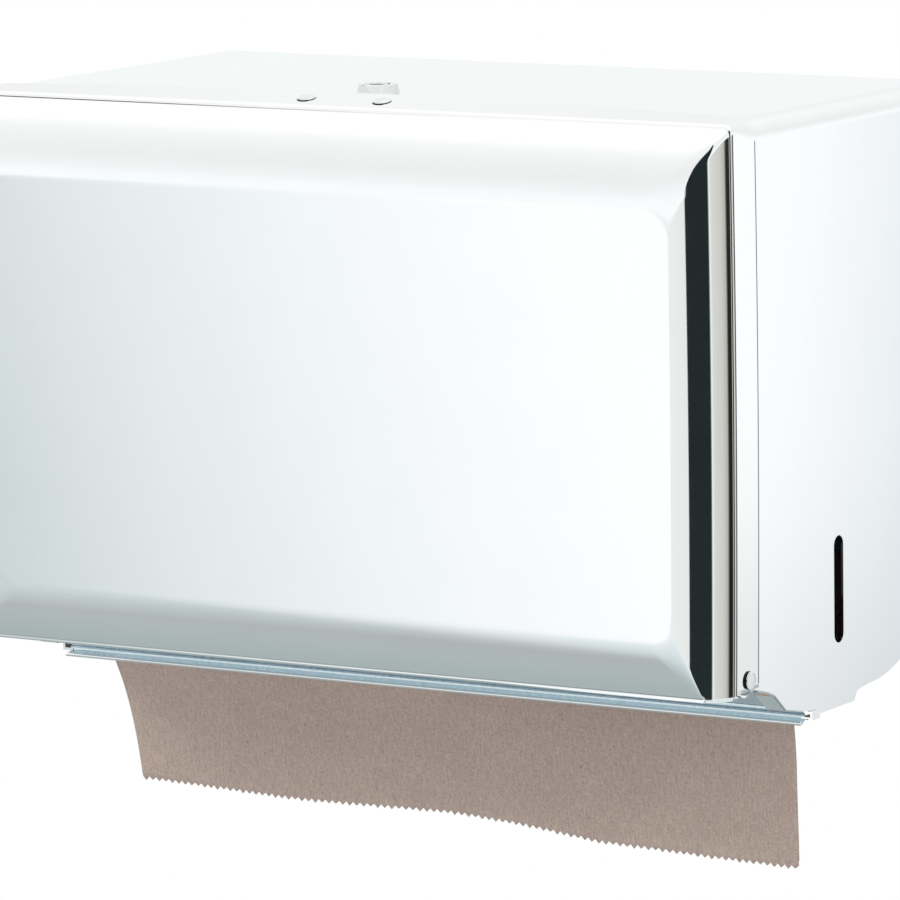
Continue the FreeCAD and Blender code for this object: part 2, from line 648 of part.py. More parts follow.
def door_catch():
    """Catch under the door flange: a pad, a leg, an arm to the rear and an upturned lip."""
    pad_top = DOOR_TOP - SHEET
    pad = box((CATCH_X - CATCH_PAD_WIDTH / 2, CATCH_FRONT, pad_top - CATCH_SHEET),
              (CATCH_X + CATCH_PAD_WIDTH / 2, CATCH_LEG, pad_top))
    path = [(CATCH_FRONT, pad_top), (CATCH_LEG, pad_top), (CATCH_LEG, CATCH_FLOOR),
            (CATCH_LIP, CATCH_FLOOR), (CATCH_LIP, CATCH_LIP_TOP)]
    half = CATCH_ARM_WIDTH / 2
    arm = strip_along_x(path, CATCH_BENDS, -CATCH_SHEET, CATCH_X - half, CATCH_X + half)
    trim = box((CATCH_X - half, CATCH_LEG - CATCH_SHEET - CATCH_TRIM, pad_top - BEYOND),
               (CATCH_X + half, CATCH_LEG + BEYOND, pad_top + BEYOND))
    catch = pad.cut(trim).fuse(arm)
    for x in catch_rivet_places():
        catch = catch.cut(rod(CATCH_RIVET_SHANK, vector(x, CATCH_RIVET_Y, pad_top - BEYOND),
                              vector(x, CATCH_RIVET_Y, pad_top + BEYOND)))
    return catch.removeSplitter()


def catch_rivets():
    """Two domed rivets through the door flange and the catch."""
    up = vector(0, 0, 1)
    rivets = []
    for x in catch_rivet_places():
        top = vector(x, CATCH_RIVET_Y, DOOR_TOP)
        low = vector(x, CATCH_RIVET_Y, DOOR_TOP - SHEET - CATCH_SHEET)
        head = rivet_head(CATCH_RIVET_HEAD, CATCH_RIVET_RISE, top, up)
        clench = rod(CATCH_CLENCH, low - up * CATCH_CLENCH_RISE, low)
        rivets.append(head.fuse([rod(CATCH_RIVET_SHANK, low, top), clench]).removeSplitter())
    return Part.makeCompound(rivets)


def towel_stack():
    """The towels left in the cabinet, sagging over the mouth and up the rear curve."""
    turn = math.radians(STACK_TURN)
    reach = STACK_ARC * math.tan(turn / 2)
    corner = (-REAR_ARC + reach, STACK_LEVEL)
    run = reach + STACK_TAIL
    end = (corner[0] + run * math.cos(turn), corner[1] + run * math.sin(turn))
    path = [STACK_START, STACK_SHOULDER, STACK_SLOPE_END, STACK_MOUTH, corner, end]
    bends = STACK_BENDS + [STACK_ARC]
    return strip_along_x(path, bends, STACK_THICKNESS, -TOWEL_HALF, TOWEL_HALF)


def towel_section(z, left_y, right_y, wave):
    """Thin band across the towel at one height: two arcs that make a shallow S."""
    middle_y = (left_y + right_y) / 2
    quarter = TOWEL_HALF / 2
    places = [(-TOWEL_HALF, left_y), (-quarter, (left_y + middle_y) / 2 - wave), (0, middle_y),
              (quarter, (middle_y + right_y) / 2 + wave), (TOWEL_HALF, right_y)]
    edges = []
    for shift in (0, TOWEL_SHEET):
        ends = [vector(x, y + shift, z) for x, y in places]
        edges.append(Part.Arc(ends[0], ends[1], ends[2]).toShape())
        edges.append(Part.Arc(ends[2], ends[3], ends[4]).toShape())
    for x, y in (places[0], places[-1]):
        edges.append(Part.LineSegment(vector(x, y, z), vector(x, y + TOWEL_SHEET, z)).toShape())
    return Part.Wire(Part.__sortEdges__(edges))


def hanging_towel():
    """The towel that hangs out of the mouth, in a shallow wave, its foot lower to the right."""
    foot = SHEET_FALL_RIGHT - SHEET_TRIM
    middle = (SHEET_FALL_TOP + foot) / 2
    middle_left = (SHEET_TOP_LEFT_Y + SHEET_FOOT_Y) / 2 + SHEET_BULGE_LEFT
    middle_right = (SHEET_TOP_RIGHT_Y + SHEET_FOOT_Y) / 2 + SHEET_BULGE_RIGHT
    sections = [
        towel_section(foot, SHEET_FOOT_Y, SHEET_FOOT_Y, SHEET_WAVE),
        towel_section(middle, middle_left, middle_right, SHEET_WAVE / 2),
        towel_section(SHEET_FALL_TOP, SHEET_TOP_LEFT_Y, SHEET_TOP_RIGHT_Y, SHEET_TOP_WAVE),
    ]
    sheet = Part.makeLoft(sections, True, False)
    edge = TOWEL_HALF + BEYOND
    under = foot - BEYOND
    corners = [vector(-edge, -FAR / 2, SHEET_FALL_LEFT), vector(edge, -FAR / 2, SHEET_FALL_RIGHT),
               vector(edge, -FAR / 2, under), vector(-edge, -FAR / 2, under)]
    cutter = Part.Face(Part.makePolygon(corners + corners[:1])).extrude(vector(0, FAR, 0))
    return sheet.cut(cutter)


def main():
    """Builds every piece and writes one file for each."""
    pieces = {
        "cabinet_shell": cabinet_shell(),
        "back_panel": back_panel(),
        "front_ledge": front_ledge(),
        "rear_lip": rear_lip(),
        "door_panel": door_panel(),
        "door_catch": door_catch(),
        "catch_rivets": catch_rivets(),
        "lock_barrel": lock_barrel(),
        "lock_washer": lock_washer(),
        "lock_nut": lock_nut(),
        "lock_plug": lock_plug(),
        "lock_wafers": lock_wafers(),
        "lock_cam": lock_cam(),
        "cam_washer": cam_washer(),
        "cam_screw": cam_screw(),
        "towel_stack": towel_stack(),
        "hanging_towel": hanging_towel(),
    }
    for side, word in ((-1, "left"), (1, "right")):
        pieces["hinge_rivet_" + word] = hinge_rivet(side)
        pieces["hinge_washer_" + word] = hinge_washer(side)
    os.makedirs("parts", exist_ok=True)
    for name, shape in pieces.items():
        print(name, "solids", len(shape.Solids), "valid", shape.isValid(), round(shape.Volume, 1))
        shape.exportStep("parts/" + name + ".step")


main()
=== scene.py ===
"""Looks of a folded towel dispenser for a wall: polished sheet steel, a key lock and kraft paper towels."""

import math

import bmesh
import bpy
import numpy as np
from bpy.props import FloatProperty, FloatVectorProperty, IntProperty, PointerProperty
from mathutils import Matrix, Vector


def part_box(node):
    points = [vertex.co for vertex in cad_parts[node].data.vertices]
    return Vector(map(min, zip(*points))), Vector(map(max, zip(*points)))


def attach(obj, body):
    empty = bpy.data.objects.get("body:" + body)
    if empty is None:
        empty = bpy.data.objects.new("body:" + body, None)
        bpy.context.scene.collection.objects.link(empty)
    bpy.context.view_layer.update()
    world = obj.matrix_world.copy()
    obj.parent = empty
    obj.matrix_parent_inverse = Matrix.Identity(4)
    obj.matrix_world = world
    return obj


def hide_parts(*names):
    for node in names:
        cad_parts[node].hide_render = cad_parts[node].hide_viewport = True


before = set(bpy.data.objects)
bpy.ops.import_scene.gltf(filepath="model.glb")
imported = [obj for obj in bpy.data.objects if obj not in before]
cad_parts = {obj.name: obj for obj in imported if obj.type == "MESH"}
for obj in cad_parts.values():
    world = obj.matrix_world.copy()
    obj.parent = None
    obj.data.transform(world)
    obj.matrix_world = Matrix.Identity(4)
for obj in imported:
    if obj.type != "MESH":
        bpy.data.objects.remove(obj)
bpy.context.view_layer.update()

bl_info = {
    "name": "Folded Towel Dispenser",
    "version": (1, 0, 0),
    "blender": (4, 5, 0),
    "location": "View3D > Sidebar > Dispenser",
    "description": "Makes the visible pieces of a sheet-steel towel dispenser around its fixed frame",
    "category": "Add Mesh",
}

# Sizes below are in millimetres, and an outline is pairs in the plane named beside it.
MM = 0.001
TINY = 1e-6
# Points this near are merged, and edges this short dropped
MERGED = 0.002
DROPPED = 0.001
# Length of the short faces that keep a run flat beside a bend or an end
SUPPORT = 0.3
X, Y, Z = 0, 1, 2


def box_mm(node):
    """Lowest and highest corner of a frame node, in millimetres."""
    low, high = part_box(node)
    return np.array(low) / MM, np.array(high) / MM


DOOR_LOW, DOOR_HIGH = box_mm("door_panel")
SHELL_LOW, SHELL_HIGH = box_mm("cabinet_shell")
BACK_LOW, BACK_HIGH = box_mm("back_panel")
LEDGE_LOW = box_mm("front_ledge")[0]
LIP_LOW, LIP_HIGH = box_mm("rear_lip")
RIVET_LOW, RIVET_HIGH = box_mm("catch_rivets")
RIVET_MIDDLE = (RIVET_LOW + RIVET_HIGH) / 2
LOCK_LOW, LOCK_HIGH = box_mm("lock_barrel")
LOCK_MIDDLE = (LOCK_LOW + LOCK_HIGH) / 2

# Door: top of the flange at its ends, front of the flat rim round the raised centre, radius of the
# lower corners, and how much the side flanges' lower edge rises to the back
DOOR_TOP = 66.9
FACE_FRONT = -144.0
FOOT_CORNER = 0.8
FOOT_RISE = 0.4
# The foot is open from this far behind the flat rim, up to this far over its lowest line
OPEN_FROM = 2.5
OPEN_UP_TO = 2.8
# Depth of the step over the lip for its height, and the upright start of the lip over its rounding
STEP_SLANT = 0.85
LIP_START = 0.05
# The rounding under the lip closes to the right: where that starts, over what width, and by what share
LIP_CLOSE = (55.0, 45.0, 0.85)

# Hinge pivot (y, z), and the nose of a cabinet side round it
PIVOT = (-135.7, -100.1)
NOSE_RADIUS = 5.4

# Lower edge of a cabinet side (y, z), from the hinge nose to the wall
SIDE_EDGE = [
    (-135.7, -105.5), (-130.8, -103.8), (-127.8, -104.6), (-117.5, -108.1), (-110.0, -114.0),
    (-95.5, -116.2), (-90.2, -118.1), (-66.2, -117.9), (-64.3, -114.9), (-57.0, -114.0),
]
SIDE_EDGE_RADII = [1.0, 1.0, 4.0, 3.0, 2.0, 1.5, 1.5, 2.0]
HEM_RANGE = (-127.6, -96.4)
HEM_FADE = 1.5
REAR_CURVE = 57.0

# Level slot (y, z) and wall screw holes (x, z)
SLOT_Y = -76.0
SLOT_MIDDLE = -81.8
SLOT_LENGTH = 33.0
SLOT_WIDTH = 6.0
HOLE_X = 101.6
HOLE_Z = 38.1
HOLE_RADIUS = 3.2

# Catch notch in the front edge of the cabinet top, the lock's hole, and how far a cutter passes its sheet
NOTCH_MIDDLE = RIVET_MIDDLE[0]
NOTCH_HALF = 20.6
NOTCH_BACK = -130.3
LOCK_HOLE = 6.0
CUT_REACH = 5.0

# Depth and bend of the back sheet's flanges, and how far the side ones stay off the wall and the top
BACK_FLANGE = 11.0
BACK_BEND = 2.0
WALL_GAP = 0.4
TOP_GAP = 3.0

# Front ledge and its lip (y, z), with a rolled ridge over the lip and a bead along its foot
LEDGE_PATH = [(-128.2, -95.0), (-128.2, -103.2), (-117.3, -106.9), (-109.6, -113.0), (-94.6, -115.0)]
LEDGE_RADII = [1.4, 3.0, 3.0]
LEDGE_INSET = 2.0
LIP_PATH = [
    (-109.6, -113.4), (-96.9, -115.1), (-96.9, -116.6), (-94.9, -117.6), (-95.1, -119.0), (-97.3, -119.9),
]
LIP_RADII = [0.4, 0.3, 0.9, 1.0]
LIP_HALF = 133.4
RIDGE_MIDDLE = (-97.2, -115.4)
BEAD_MIDDLE = (-97.3, -119.9)
BEAD_RADIUS = 0.7

# Clinch tabs at the ends of the ledge: their run (y), height and sheet, how far they stand off the side
# and under it, and how far they reach under the lip
TAB_RANGE = (-95.3, -90.4)
TAB_HEIGHT = 2.7
TAB_SHEET = 0.8
TAB_STAND = 0.95
TAB_OVERLAP = 1.0

# Metals by their colour's setting: name, least and most roughness, and spacing of the texture
PLATINGS = {
    "nickel": ("bright_steel_rivet", 0.06, 0.12, 1.5),
    # seam is painted shade: a near-black plating that stands in for the shade and dark reflections on the
    # rivet heads' upright walls
    "seam": ("dark_rivet_wall", 0.3, 0.4, 1.5),
    "chrome": ("bright_chrome", 0.04, 0.09, 1.2),
    "zinc": ("zinc_plated_steel", 0.3, 0.5, 0.6),
    "brass": ("wafer_brass", 0.2, 0.35, 0.5),
}

# Rivets: radius of the shank and of the neck under the head
SHANK = 2.0
NECK = 2.4

# Lower face of the towel stack (y, z)
STACK_PATH = [(-125.6, -101.2), (-116.4, -105.2), (-108.8, -111.5), (-96.0, -112.6)]
STACK_RADII = [6.0, 16.0, 20.0, 54.6]
STACK_LEVEL = -111.4
STACK_CURVE = 54.6
STACK_TURN = math.radians(58.0)

# Edges of the towel that hangs out (y, z), from the foot up and into the cabinet
FALL_LEFT = [
    (-73.9, -162.6), (-76.4, -151.8), (-79.8, -140.8), (-84.1, -130.6), (-88.4, -122.7),
    (-91.0, -117.4), (-90.6, -114.3), (-87.0, -113.0), (-76.0, -112.3), (-66.0, -111.8),
    (-57.0, -111.75),
]
FALL_RIGHT = [
    (-74.0, -169.2), (-74.4, -159.6), (-75.0, -149.8), (-76.1, -136.2), (-77.9, -125.3),
    (-79.3, -118.0), (-79.2, -114.7), (-76.0, -113.2), (-71.0, -112.4), (-66.0, -111.8),
    (-57.0, -111.75),
]
FALL_CURVE = 54.75
FALL_TURN = math.radians(46.0)
# Unevenness along a saw-toothed cut, as share of the tooth's depth, turn for each column and shift
TOOTH_WAVES = [(0.12, 1.7, 0.0), (0.08, 0.61, 1.0)]
# Foot of that towel (x, z): it sinks to the right, gently waved
FOOT_LINE = [
    (-121.0, -162.6), (-60.7, -164.0), (-4.8, -163.7), (22.0, -165.2), (49.7, -168.0), (88.5, -169.0),
    (120.6, -169.1),
]
# Slow waves across it, as depth, length of one radian and shift, and the level and height in which the
# waves and the line of the foot grow to their full size
WAVES = [(1.1, 34.0, 0.7), (0.6, 15.0, 2.1)]
WAVE_FADE = (-116.0, 40.0)
FOOT_FADE = (-130.0, 35.0)
# Gap between its leaves, and how much shorter the rear leaf is at its two lowest rows
LEAF_GAP = 0.38
REAR_STEPS = (1.6, 0.6)

# Stack: level of the lowest leaf, height of all towels, reach of their front ends, how much further an
# upper leaf reaches, and the most that a towel slips, turns and shifts
STACK_FOOT = 0.95
STACK_HEIGHT = 8.1
FRONT_REACH = 0.6
UPPER_REACH = 0.35
ASKEW = (0.9, 0.5, 0.6)
TOWEL_HALF = 120.0
# Where a towel's middle lies on the paper's pattern, and how far apart the stacked ones lie on it
CUT_MIDDLE = 121.0
CUT_STEP = 37.0

# The photograph's camera
IMAGE_WIDTH = 900
FOCAL_PIXELS = 7075.84
SENSOR = 36.0
VIEW_DISTANCE = 2215.16
VIEW_TARGET = (-3.50, -73.03, -48.60)


def linear(code):
    """Linear colour of an sRGB hex code."""
    parts = np.array([int(code[k:k + 2], 16) for k in (1, 3, 5)]) / 255
    return tuple(np.where(parts > 0.04045, ((parts + 0.055) / 1.055) ** 2.4, parts / 12.92).tolist())


def length(name, description, default):
    """A length property whose default is given in millimetres."""
    return FloatProperty(name=name, description=description, default=default * MM, unit="LENGTH", precision=5)


def angle(name, description, default):
    """An angle property whose default is given in degrees."""
    return FloatProperty(name=name, description=description, default=math.radians(default), subtype="ANGLE")


def colour(name, description, default):
    """A colour property whose default is given as an sRGB hex code."""
    return FloatVectorProperty(name=name, description=description, default=linear(default), subtype="COLOR",
                               min=0.0, max=1.0)


class SheetSettings(bpy.types.PropertyGroup):
    """Sheet steel of the cabinet and the door."""

    thickness: length("Sheet", "Thickness of the steel sheet", 0.8)
    bend: length("Cabinet bend", "Outer radius of the two upper bends of the cabinet", 6.0)
    hem_bend: length("Hem bend", "Outer radius where a side turns in under the cabinet", 0.6)
    hem_width: length("Hem width", "Width of the strip turned in along the front of a side", 6.0)
    polished: colour("Polished face", "Colour of the mirror-polished face", "#F7F7F8")
    mill: colour("Mill face", "Colour of the unpolished inner face", "#C9CDCE")
    sheared: colour("Sheared edge", "Colour of a cut edge", "#B9BEC0")


class DoorSettings(bpy.types.PropertyGroup):
    """The door pressing."""

    flange: length("Flange", "Depth of the flange from its back edge to the bend", 14.2)
    curl: length("Rear curl", "How far the flange's back edge turns in", 0.3)
    curl_length: length("Rear curl length", "Depth of the part that turns in", 1.1)
    edge_bend: length("Edge bend", "Outer radius between the flange and the face", 0.9)
    back_corner: length("Back corner", "Radius of the upper corners at the flange's back edge", 7.0)
    corner: length("Front corner", "Radius of the upper corners at the front of the flange", 2.2)
    inset: length("Side inset", "Distance from the side flange to the curved border", 0.68)
    top_inset: length("Top inset", "Distance from the top flange to the curved border", 0.9)
    slope: length("Flange slope", "How far the top flange sinks from its back edge to the front", 0.9)
    bow: length("Flange bow", "How far the top flange's back edge rises in the middle", 2.2)
    run: length("Side run", "Width of the curved border at the sides", 15.17)
    belly: length("Side belly", "How far a side stands out at its middle, and in at its ends", 0.3)
    crown_angle: angle("Crown angle", "Turn of the side border where it meets the flat centre", 77.0)
    top_run: length("Top run", "Width of the curved border along the top", 25.0)
    foot_run: length("Foot run", "Width of the curved border along the bottom", 17.0)
    foot_fall: length("Foot fall", "How far the bottom border falls back", 2.5)
    lip: length("Lip", "Height of the upright lip along the bottom", 1.0)
    lip_bend: length("Lip bend", "Rounding under the lip", 0.6)
    lip_step: length("Lip step", "Height of the step over the lip", 0.5)
    crown_corner: length("Crown corner", "Corner radius where the border meets the flat centre", 9.0)


class LockSettings(bpy.types.PropertyGroup):
    """Sizes of the key lock, and the colours of the hardware, of the painted shade on the rivet walls and of
    the ledge.
    """

    rim_rise: length("Rim rise", "Height of the lock's rim above the cabinet top", 2.3)
    rim_edge: length("Rim edge", "Rounding of the rim's upper edge", 0.4)
    taper: length("Rim taper", "How much narrower the rim is at its top", 0.6)
    chrome: colour("Chrome", "Colour of the plated lock", "#E9ECEC")
    nickel: colour("Nickel", "Colour of the rivets", "#F3F4F4")
    zinc: colour("Zinc", "Colour of the zinc-plated hardware", "#AEB4B6")
    ledge: colour("Ledge", "Colour of the ledge's duller, cooler sheet", "#E4F0F7")
    # Painted shade: this near-black stands in for the shade and dark reflections on the upright wall round a
    # rivet's head
    seam: colour("Rivet wall", "Colour of the upright wall round a rivet's head", "#20282A")
    brass: colour("Brass", "Colour of the lock's wafers", "#C9A45A")


class TowelSettings(bpy.types.PropertyGroup):
    """Paper towels."""

    width: length("Width", "Width of a towel", 241.0)
    full_length: length("Length", "Unfolded length of a towel", 260.0)
    ply: length("Paper", "Drawn thickness of one leaf of paper", 0.22)
    tooth: length("Tooth depth", "Depth of the saw-toothed cut", 1.15)
    teeth: IntProperty(name="Teeth", description="Teeth along a cut edge", default=96, min=8)
    count: IntProperty(name="Towels", description="Towels drawn in the stack", default=9, min=1)
    paper: colour("Kraft paper", "Main colour of the unbleached paper", "#B19F94")
    fleck: colour("Flecks", "Colour of the dark flecks in the paper", "#7E6C62")


class StudioSettings(bpy.types.PropertyGroup):
    """Camera, floor and light."""

    azimuth: angle("Azimuth", "Camera's turn to the right of the front", 30.9974)
    elevation: angle("Elevation", "Camera's height above the horizon", 8.5271)
    roll: angle("Roll", "Camera's turn about its own axis", -0.8010)
    floor_level: length("Floor", "Height of the floor", -560.0)
    floor_radius: length("Floor radius", "Radius of the floor", 1700.0)
    floor: colour("Floor colour", "Colour of the pale floor", "#F4F5F5")


class DispenserSettings(bpy.types.PropertyGroup):
    """All sizes and colours of the dispenser."""

    sheet: PointerProperty(type=SheetSettings)
    door: PointerProperty(type=DoorSettings)
    lock: PointerProperty(type=LockSettings)
    towels: PointerProperty(type=TowelSettings)
    studio: PointerProperty(type=StudioSettings)


def add_node(tree, kind, links=None, stops=None, **settings):
    """Adds one shader node, of a kind such as Math, with its settings.

    links maps an input to a value, to a node's output, or to a node, which stands for its first
    output. stops are a colour ramp's, each a place from 0 to 1 and a linear colour.
    """
    node = tree.nodes.new("ShaderNode" + kind)
    for name, value in settings.items():
        setattr(node, name, value)
    for name, value in (links or {}).items():
        source = value.outputs[0] if isinstance(value, bpy.types.Node) else value
        if isinstance(source, bpy.types.NodeSocket):
            tree.links.new(source, node.inputs[name])
        else:
            node.inputs[name].default_value = source
    if stops:
        elements = node.color_ramp.elements
        elements.remove(elements[1])
        elements[0].position = stops[0][0]
        elements[0].color = (*stops[0][1], 1.0)
        for place, shade in stops[1:]:
            elements.new(place).color = (*shade, 1.0)
    return node


def new_material(name):
    """An empty material: (material, tree)."""
    material = bpy.data.materials.new(name)
    material.use_nodes = True
    material.node_tree.nodes.clear()
    return material, material.node_tree


def shade_of(base, factor):
    """A colour made lighter or darker."""
    return tuple(min(1.0, part * factor) for part in base)


def metal_surface(tree, base, shade, spots, uneven, roughness, grain, bump):
    """Joins up a metal: spots darken its colour, uneven varies its roughness and grain raises its bump.

    shade is the darkest spots' factor, roughness the range of uneven and the roughness at its two
    ends, and bump a strength and a height in millimetres.
    """
    tinted = add_node(tree, "ValToRGB", {"Fac": spots},
                      stops=[(0.3, shade_of(base, shade)), (0.7, tuple(base))])
    low, high, least, most = roughness
    varied = add_node(tree, "MapRange", {
        "Value": uneven, "From Min": low, "From Max": high, "To Min": least, "To Max": most})
    strength, height = bump
    raised = add_node(tree, "Bump", {"Height": grain, "Strength": strength, "Distance": height * MM})
    shader = add_node(tree, "BsdfPrincipled", {
        "Base Color": tinted, "Metallic": 1.0, "Roughness": varied, "Normal": raised})
    add_node(tree, "OutputMaterial", {"Surface": shader})


def polished_steel(settings):
    """Stainless sheet, mirror polished by buffing: sharp reflections with a faint haze that drifts."""
    material, tree = new_material("polished_stainless")
    place = add_node(tree, "TexCoord").outputs["Object"]
    haze_spacing, grit_spacing = 22.0, 1.6
    haze, grit = (
        add_node(tree, "TexNoise", {"Vector": place, "Scale": 1 / (spacing * MM), "Detail": detail})
        for spacing, detail in ((haze_spacing, 3.0), (grit_spacing, 2.0)))
    mixed = add_node(tree, "Math", {0: haze, 1: grit}, operation="MULTIPLY")
    metal_surface(tree, settings.polished, 0.985, haze, mixed, (0.1, 0.45, 0.028, 0.06), grit, (0.02, 0.02))
    return material


def mill_steel(settings):
    """The same sheet's inner face, as rolled: dull grey with fine rolling lines along X."""
    material, tree = new_material("mill_finish_stainless")
    place = add_node(tree, "TexCoord").outputs["Object"]
    line_spacing, line_stretch = 0.5, 0.02
    drawn_out = add_node(tree, "Mapping", {"Vector": place, "Scale": (line_stretch, 1.0, 1.0)})
    lines = add_node(tree, "TexNoise", {
        "Vector": drawn_out, "Scale": 1 / (line_spacing * MM), "Detail": 4.0})
    metal_surface(tree, settings.mill, 0.9, lines, lines, (0.3, 0.7, 0.3, 0.42), lines, (0.15, 0.05))
    return material


def plated_metal(name, base, least, most, grain):
    """Plated or bright metal: a shine that a faint texture varies.

    least and most are the limits of its roughness, and grain is the texture's spacing in millimetres.
    """
    material, tree = new_material(name)
    place = add_node(tree, "TexCoord").outputs["Object"]
    noise = add_node(tree, "TexNoise", {"Vector": place, "Scale": 1 / (grain * MM), "Detail": 4.0})
    metal_surface(tree, base, 0.88, noise, noise, (0.3, 0.7, least, most), noise, (0.1, 0.03))
    return material


def kraft_paper(settings):
    """Unbleached crepe paper: matt, brown, with upright crepe lines and scattered dark and pale fibres.

    The mottle stands for fibres that are too fine to show, and is drawn as coarse as it needs to show.
    """
    material, tree = new_material("unbleached_crepe_paper")
    cut = add_node(tree, "UVMap", uv_map="cut")
    crepe_spacing, crepe_length = 0.7, 4.0
    mottle_spacing, cloud_spacing, fibre_spacing = 0.85, 16.0, 2.1
    drawn_out = add_node(tree, "Mapping", {
        "Vector": cut, "Scale": (1 / (crepe_spacing * MM), 1 / (crepe_length * MM), 1.0)})
    crepe = add_node(tree, "TexNoise", {"Vector": drawn_out, "Scale": 1.0, "Detail": 3.0})
    mottle = add_node(tree, "TexNoise", {
        "Vector": cut, "Scale": 1 / (mottle_spacing * MM), "Detail": 5.0, "Roughness": 0.7})
    cloud = add_node(tree, "TexNoise", {"Vector": cut, "Scale": 1 / (cloud_spacing * MM), "Detail": 2.0})
    fibre = add_node(tree, "TexVoronoi", {"Vector": cut, "Scale": 1 / (fibre_spacing * MM)})
    base = tuple(settings.paper)
    cool, warm = (tuple(part * factor for part, factor in zip(base, tone))
                  for tone in ((0.8, 0.8, 0.84), (1.16, 1.08, 1.03)))
    paper = add_node(tree, "ValToRGB", {"Fac": mottle}, stops=[(0.36, cool), (0.5, base), (0.64, warm)])
    shades = ((crepe, (0.34, 0.86), (0.66, 1.02)), (cloud, (0.35, 0.95), (0.65, 1.0)))
    for pattern, *ends in shades:
        shaded = add_node(tree, "ValToRGB", {"Fac": pattern},
                          stops=[(place, (share,) * 3) for place, share in ends])
        paper = add_node(tree, "Mix", {0: 1.0, 6: paper, 7: shaded}, data_type="RGBA",
                         blend_type="MULTIPLY").outputs[2]
    chosen = add_node(tree, "SeparateColor", {"Color": fibre.outputs["Color"]})
    spot = add_node(tree, "MapRange", {
        "Value": fibre, "From Min": 0.08, "From Max": 0.2, "To Min": 0.7, "To Max": 0.0})
    for channel, least, tone in ((0, 0.62, settings.fleck), (1, 0.7, shade_of(base, 1.2))):
        kept = add_node(tree, "Math", {0: chosen.outputs[channel], 1: least}, operation="GREATER_THAN")
        mark = add_node(tree, "Math", {0: spot, 1: kept}, operation="MULTIPLY", use_clamp=True)
        paper = add_node(tree, "Mix", {0: mark, 6: paper, 7: (*tone, 1.0)}, data_type="RGBA").outputs[2]
    height = add_node(tree, "Math", {0: crepe, 1: mottle}, operation="ADD")
    bump = add_node(tree, "Bump", {"Height": height, "Strength": 0.6, "Distance": 0.12 * MM})
    shader = add_node(tree, "BsdfPrincipled", {
        "Base Color": paper, "Roughness": 0.93, "IOR": 1.45, "Normal": bump, "Sheen Weight": 0.1,
        "Sheen Roughness": 0.6})
    add_node(tree, "OutputMaterial", {"Surface": shader})
    return material


def unit(vector):
    """The same direction with length 1."""
    return vector / np.linalg.norm(vector)


def rounded_path(corners, radii, turn_step=6.0, support=SUPPORT):
    """Open path of straight runs joined by tangent arcs, as an (n, 2) array.

    Each corner's arc starts and ends radius x tan(half the turn) from the corner. A point stands
    a support's length outside each arc, so that a flat run stays flat where it is polished.
    """
    corners = np.array(corners, float)
    rows = [corners[:1]]
    for index in range(1, len(corners) - 1):
        corner = corners[index]
        arrive = unit(corner - corners[index - 1])
        leave = unit(corners[index + 1] - corner)
        turn = math.atan2(arrive[0] * leave[1] - arrive[1] * leave[0], float(arrive @ leave))
        radius = radii[index - 1]
        if abs(turn) < TINY or radius < TINY:
            rows.append(corner[None])
            continue
        reach = radius * math.tan(abs(turn) / 2)
        begin = corner - arrive * reach
        side = math.copysign(1.0, turn)
        centre = begin + side * radius * np.array([-arrive[1], arrive[0]])
        steps = max(3, int(math.ceil(math.degrees(abs(turn)) / turn_step)) + 1)
        bend = np.linspace(0, turn, steps)
        start = math.atan2(*(begin - centre)[::-1])
        curve = centre + radius * np.stack([np.cos(start + bend), np.sin(start + bend)], -1)
        rows += [(begin - arrive * support)[None], curve, (curve[-1] + leave * support)[None]]
    rows.append(corners[-1:])
    return np.concatenate(rows)


def arc(centre, radius, start, end, steps):
    """Points on a circle from one angle in degrees to another, as an (n, 2) array."""
    turn = np.radians(np.linspace(start, end, steps))
    return np.array(centre) + radius * np.stack([np.cos(turn), np.sin(turn)], -1)


def path_normals(path):
    """Unit normals on the left of a path in a plane."""
    tangent = np.gradient(path, axis=0)
    tangent /= np.linalg.norm(tangent, axis=1)[:, None] + TINY
    return np.stack([-tangent[:, 1], tangent[:, 0]], -1)


def smooth_curve(points, per_span):
    """Curve through points: each span is the cubic whose end slopes are half the chord beside it."""
    points = np.array(points, float)
    before = np.concatenate([2 * points[:1] - points[1:2], points[:-1]])
    after = np.concatenate([points[1:], 2 * points[-1:] - points[-2:-1]])
    slope = (after - before) / 2
    t = np.linspace(0, 1, per_span, endpoint=False)[:, None]
    a, b, sa, sb = points[:-1, None], points[1:, None], slope[:-1, None], slope[1:, None]
    spans = ((2 * t ** 3 - 3 * t ** 2 + 1) * a + (t ** 3 - 2 * t ** 2 + t) * sa
             + (3 * t ** 2 - 2 * t ** 3) * b + (t ** 3 - t ** 2) * sb)
    return np.concatenate([spans.reshape(-1, points.shape[1]), points[-1:]])


def grid_faces(rows, columns, wrap=False):
    """Quads between neighbouring points of a grid, row by row; wrap joins the last column to the first."""
    row, column = np.mgrid[0:rows - 1, 0:columns if wrap else columns - 1]
    after = (column + 1) % columns
    quads = [row * columns + column, row * columns + after,
             (row + 1) * columns + after, (row + 1) * columns + column]
    return np.stack(quads, -1).reshape(-1, 4)


def add_object(name, data):
    """An object of the scene for a mesh, a lamp or a camera."""
    made = bpy.data.objects.new(name, data)
    bpy.context.scene.collection.objects.link(made)
    return made


def add_piece(name, points, faces):
    """A mesh object from points in millimetres; doubled points are merged and flat faces dropped."""
    mesh = bpy.data.meshes.new(name)
    mesh.from_pydata((np.asarray(points, float).reshape(-1, 3) * MM).tolist(), [], [list(f) for f in faces])
    shape = bmesh.new()
    shape.from_mesh(mesh)
    bmesh.ops.remove_doubles(shape, verts=shape.verts, dist=MERGED * MM)
    bmesh.ops.dissolve_degenerate(shape, edges=shape.edges, dist=DROPPED * MM)
    shape.to_mesh(mesh)
    shape.free()
    return add_object(name, mesh)


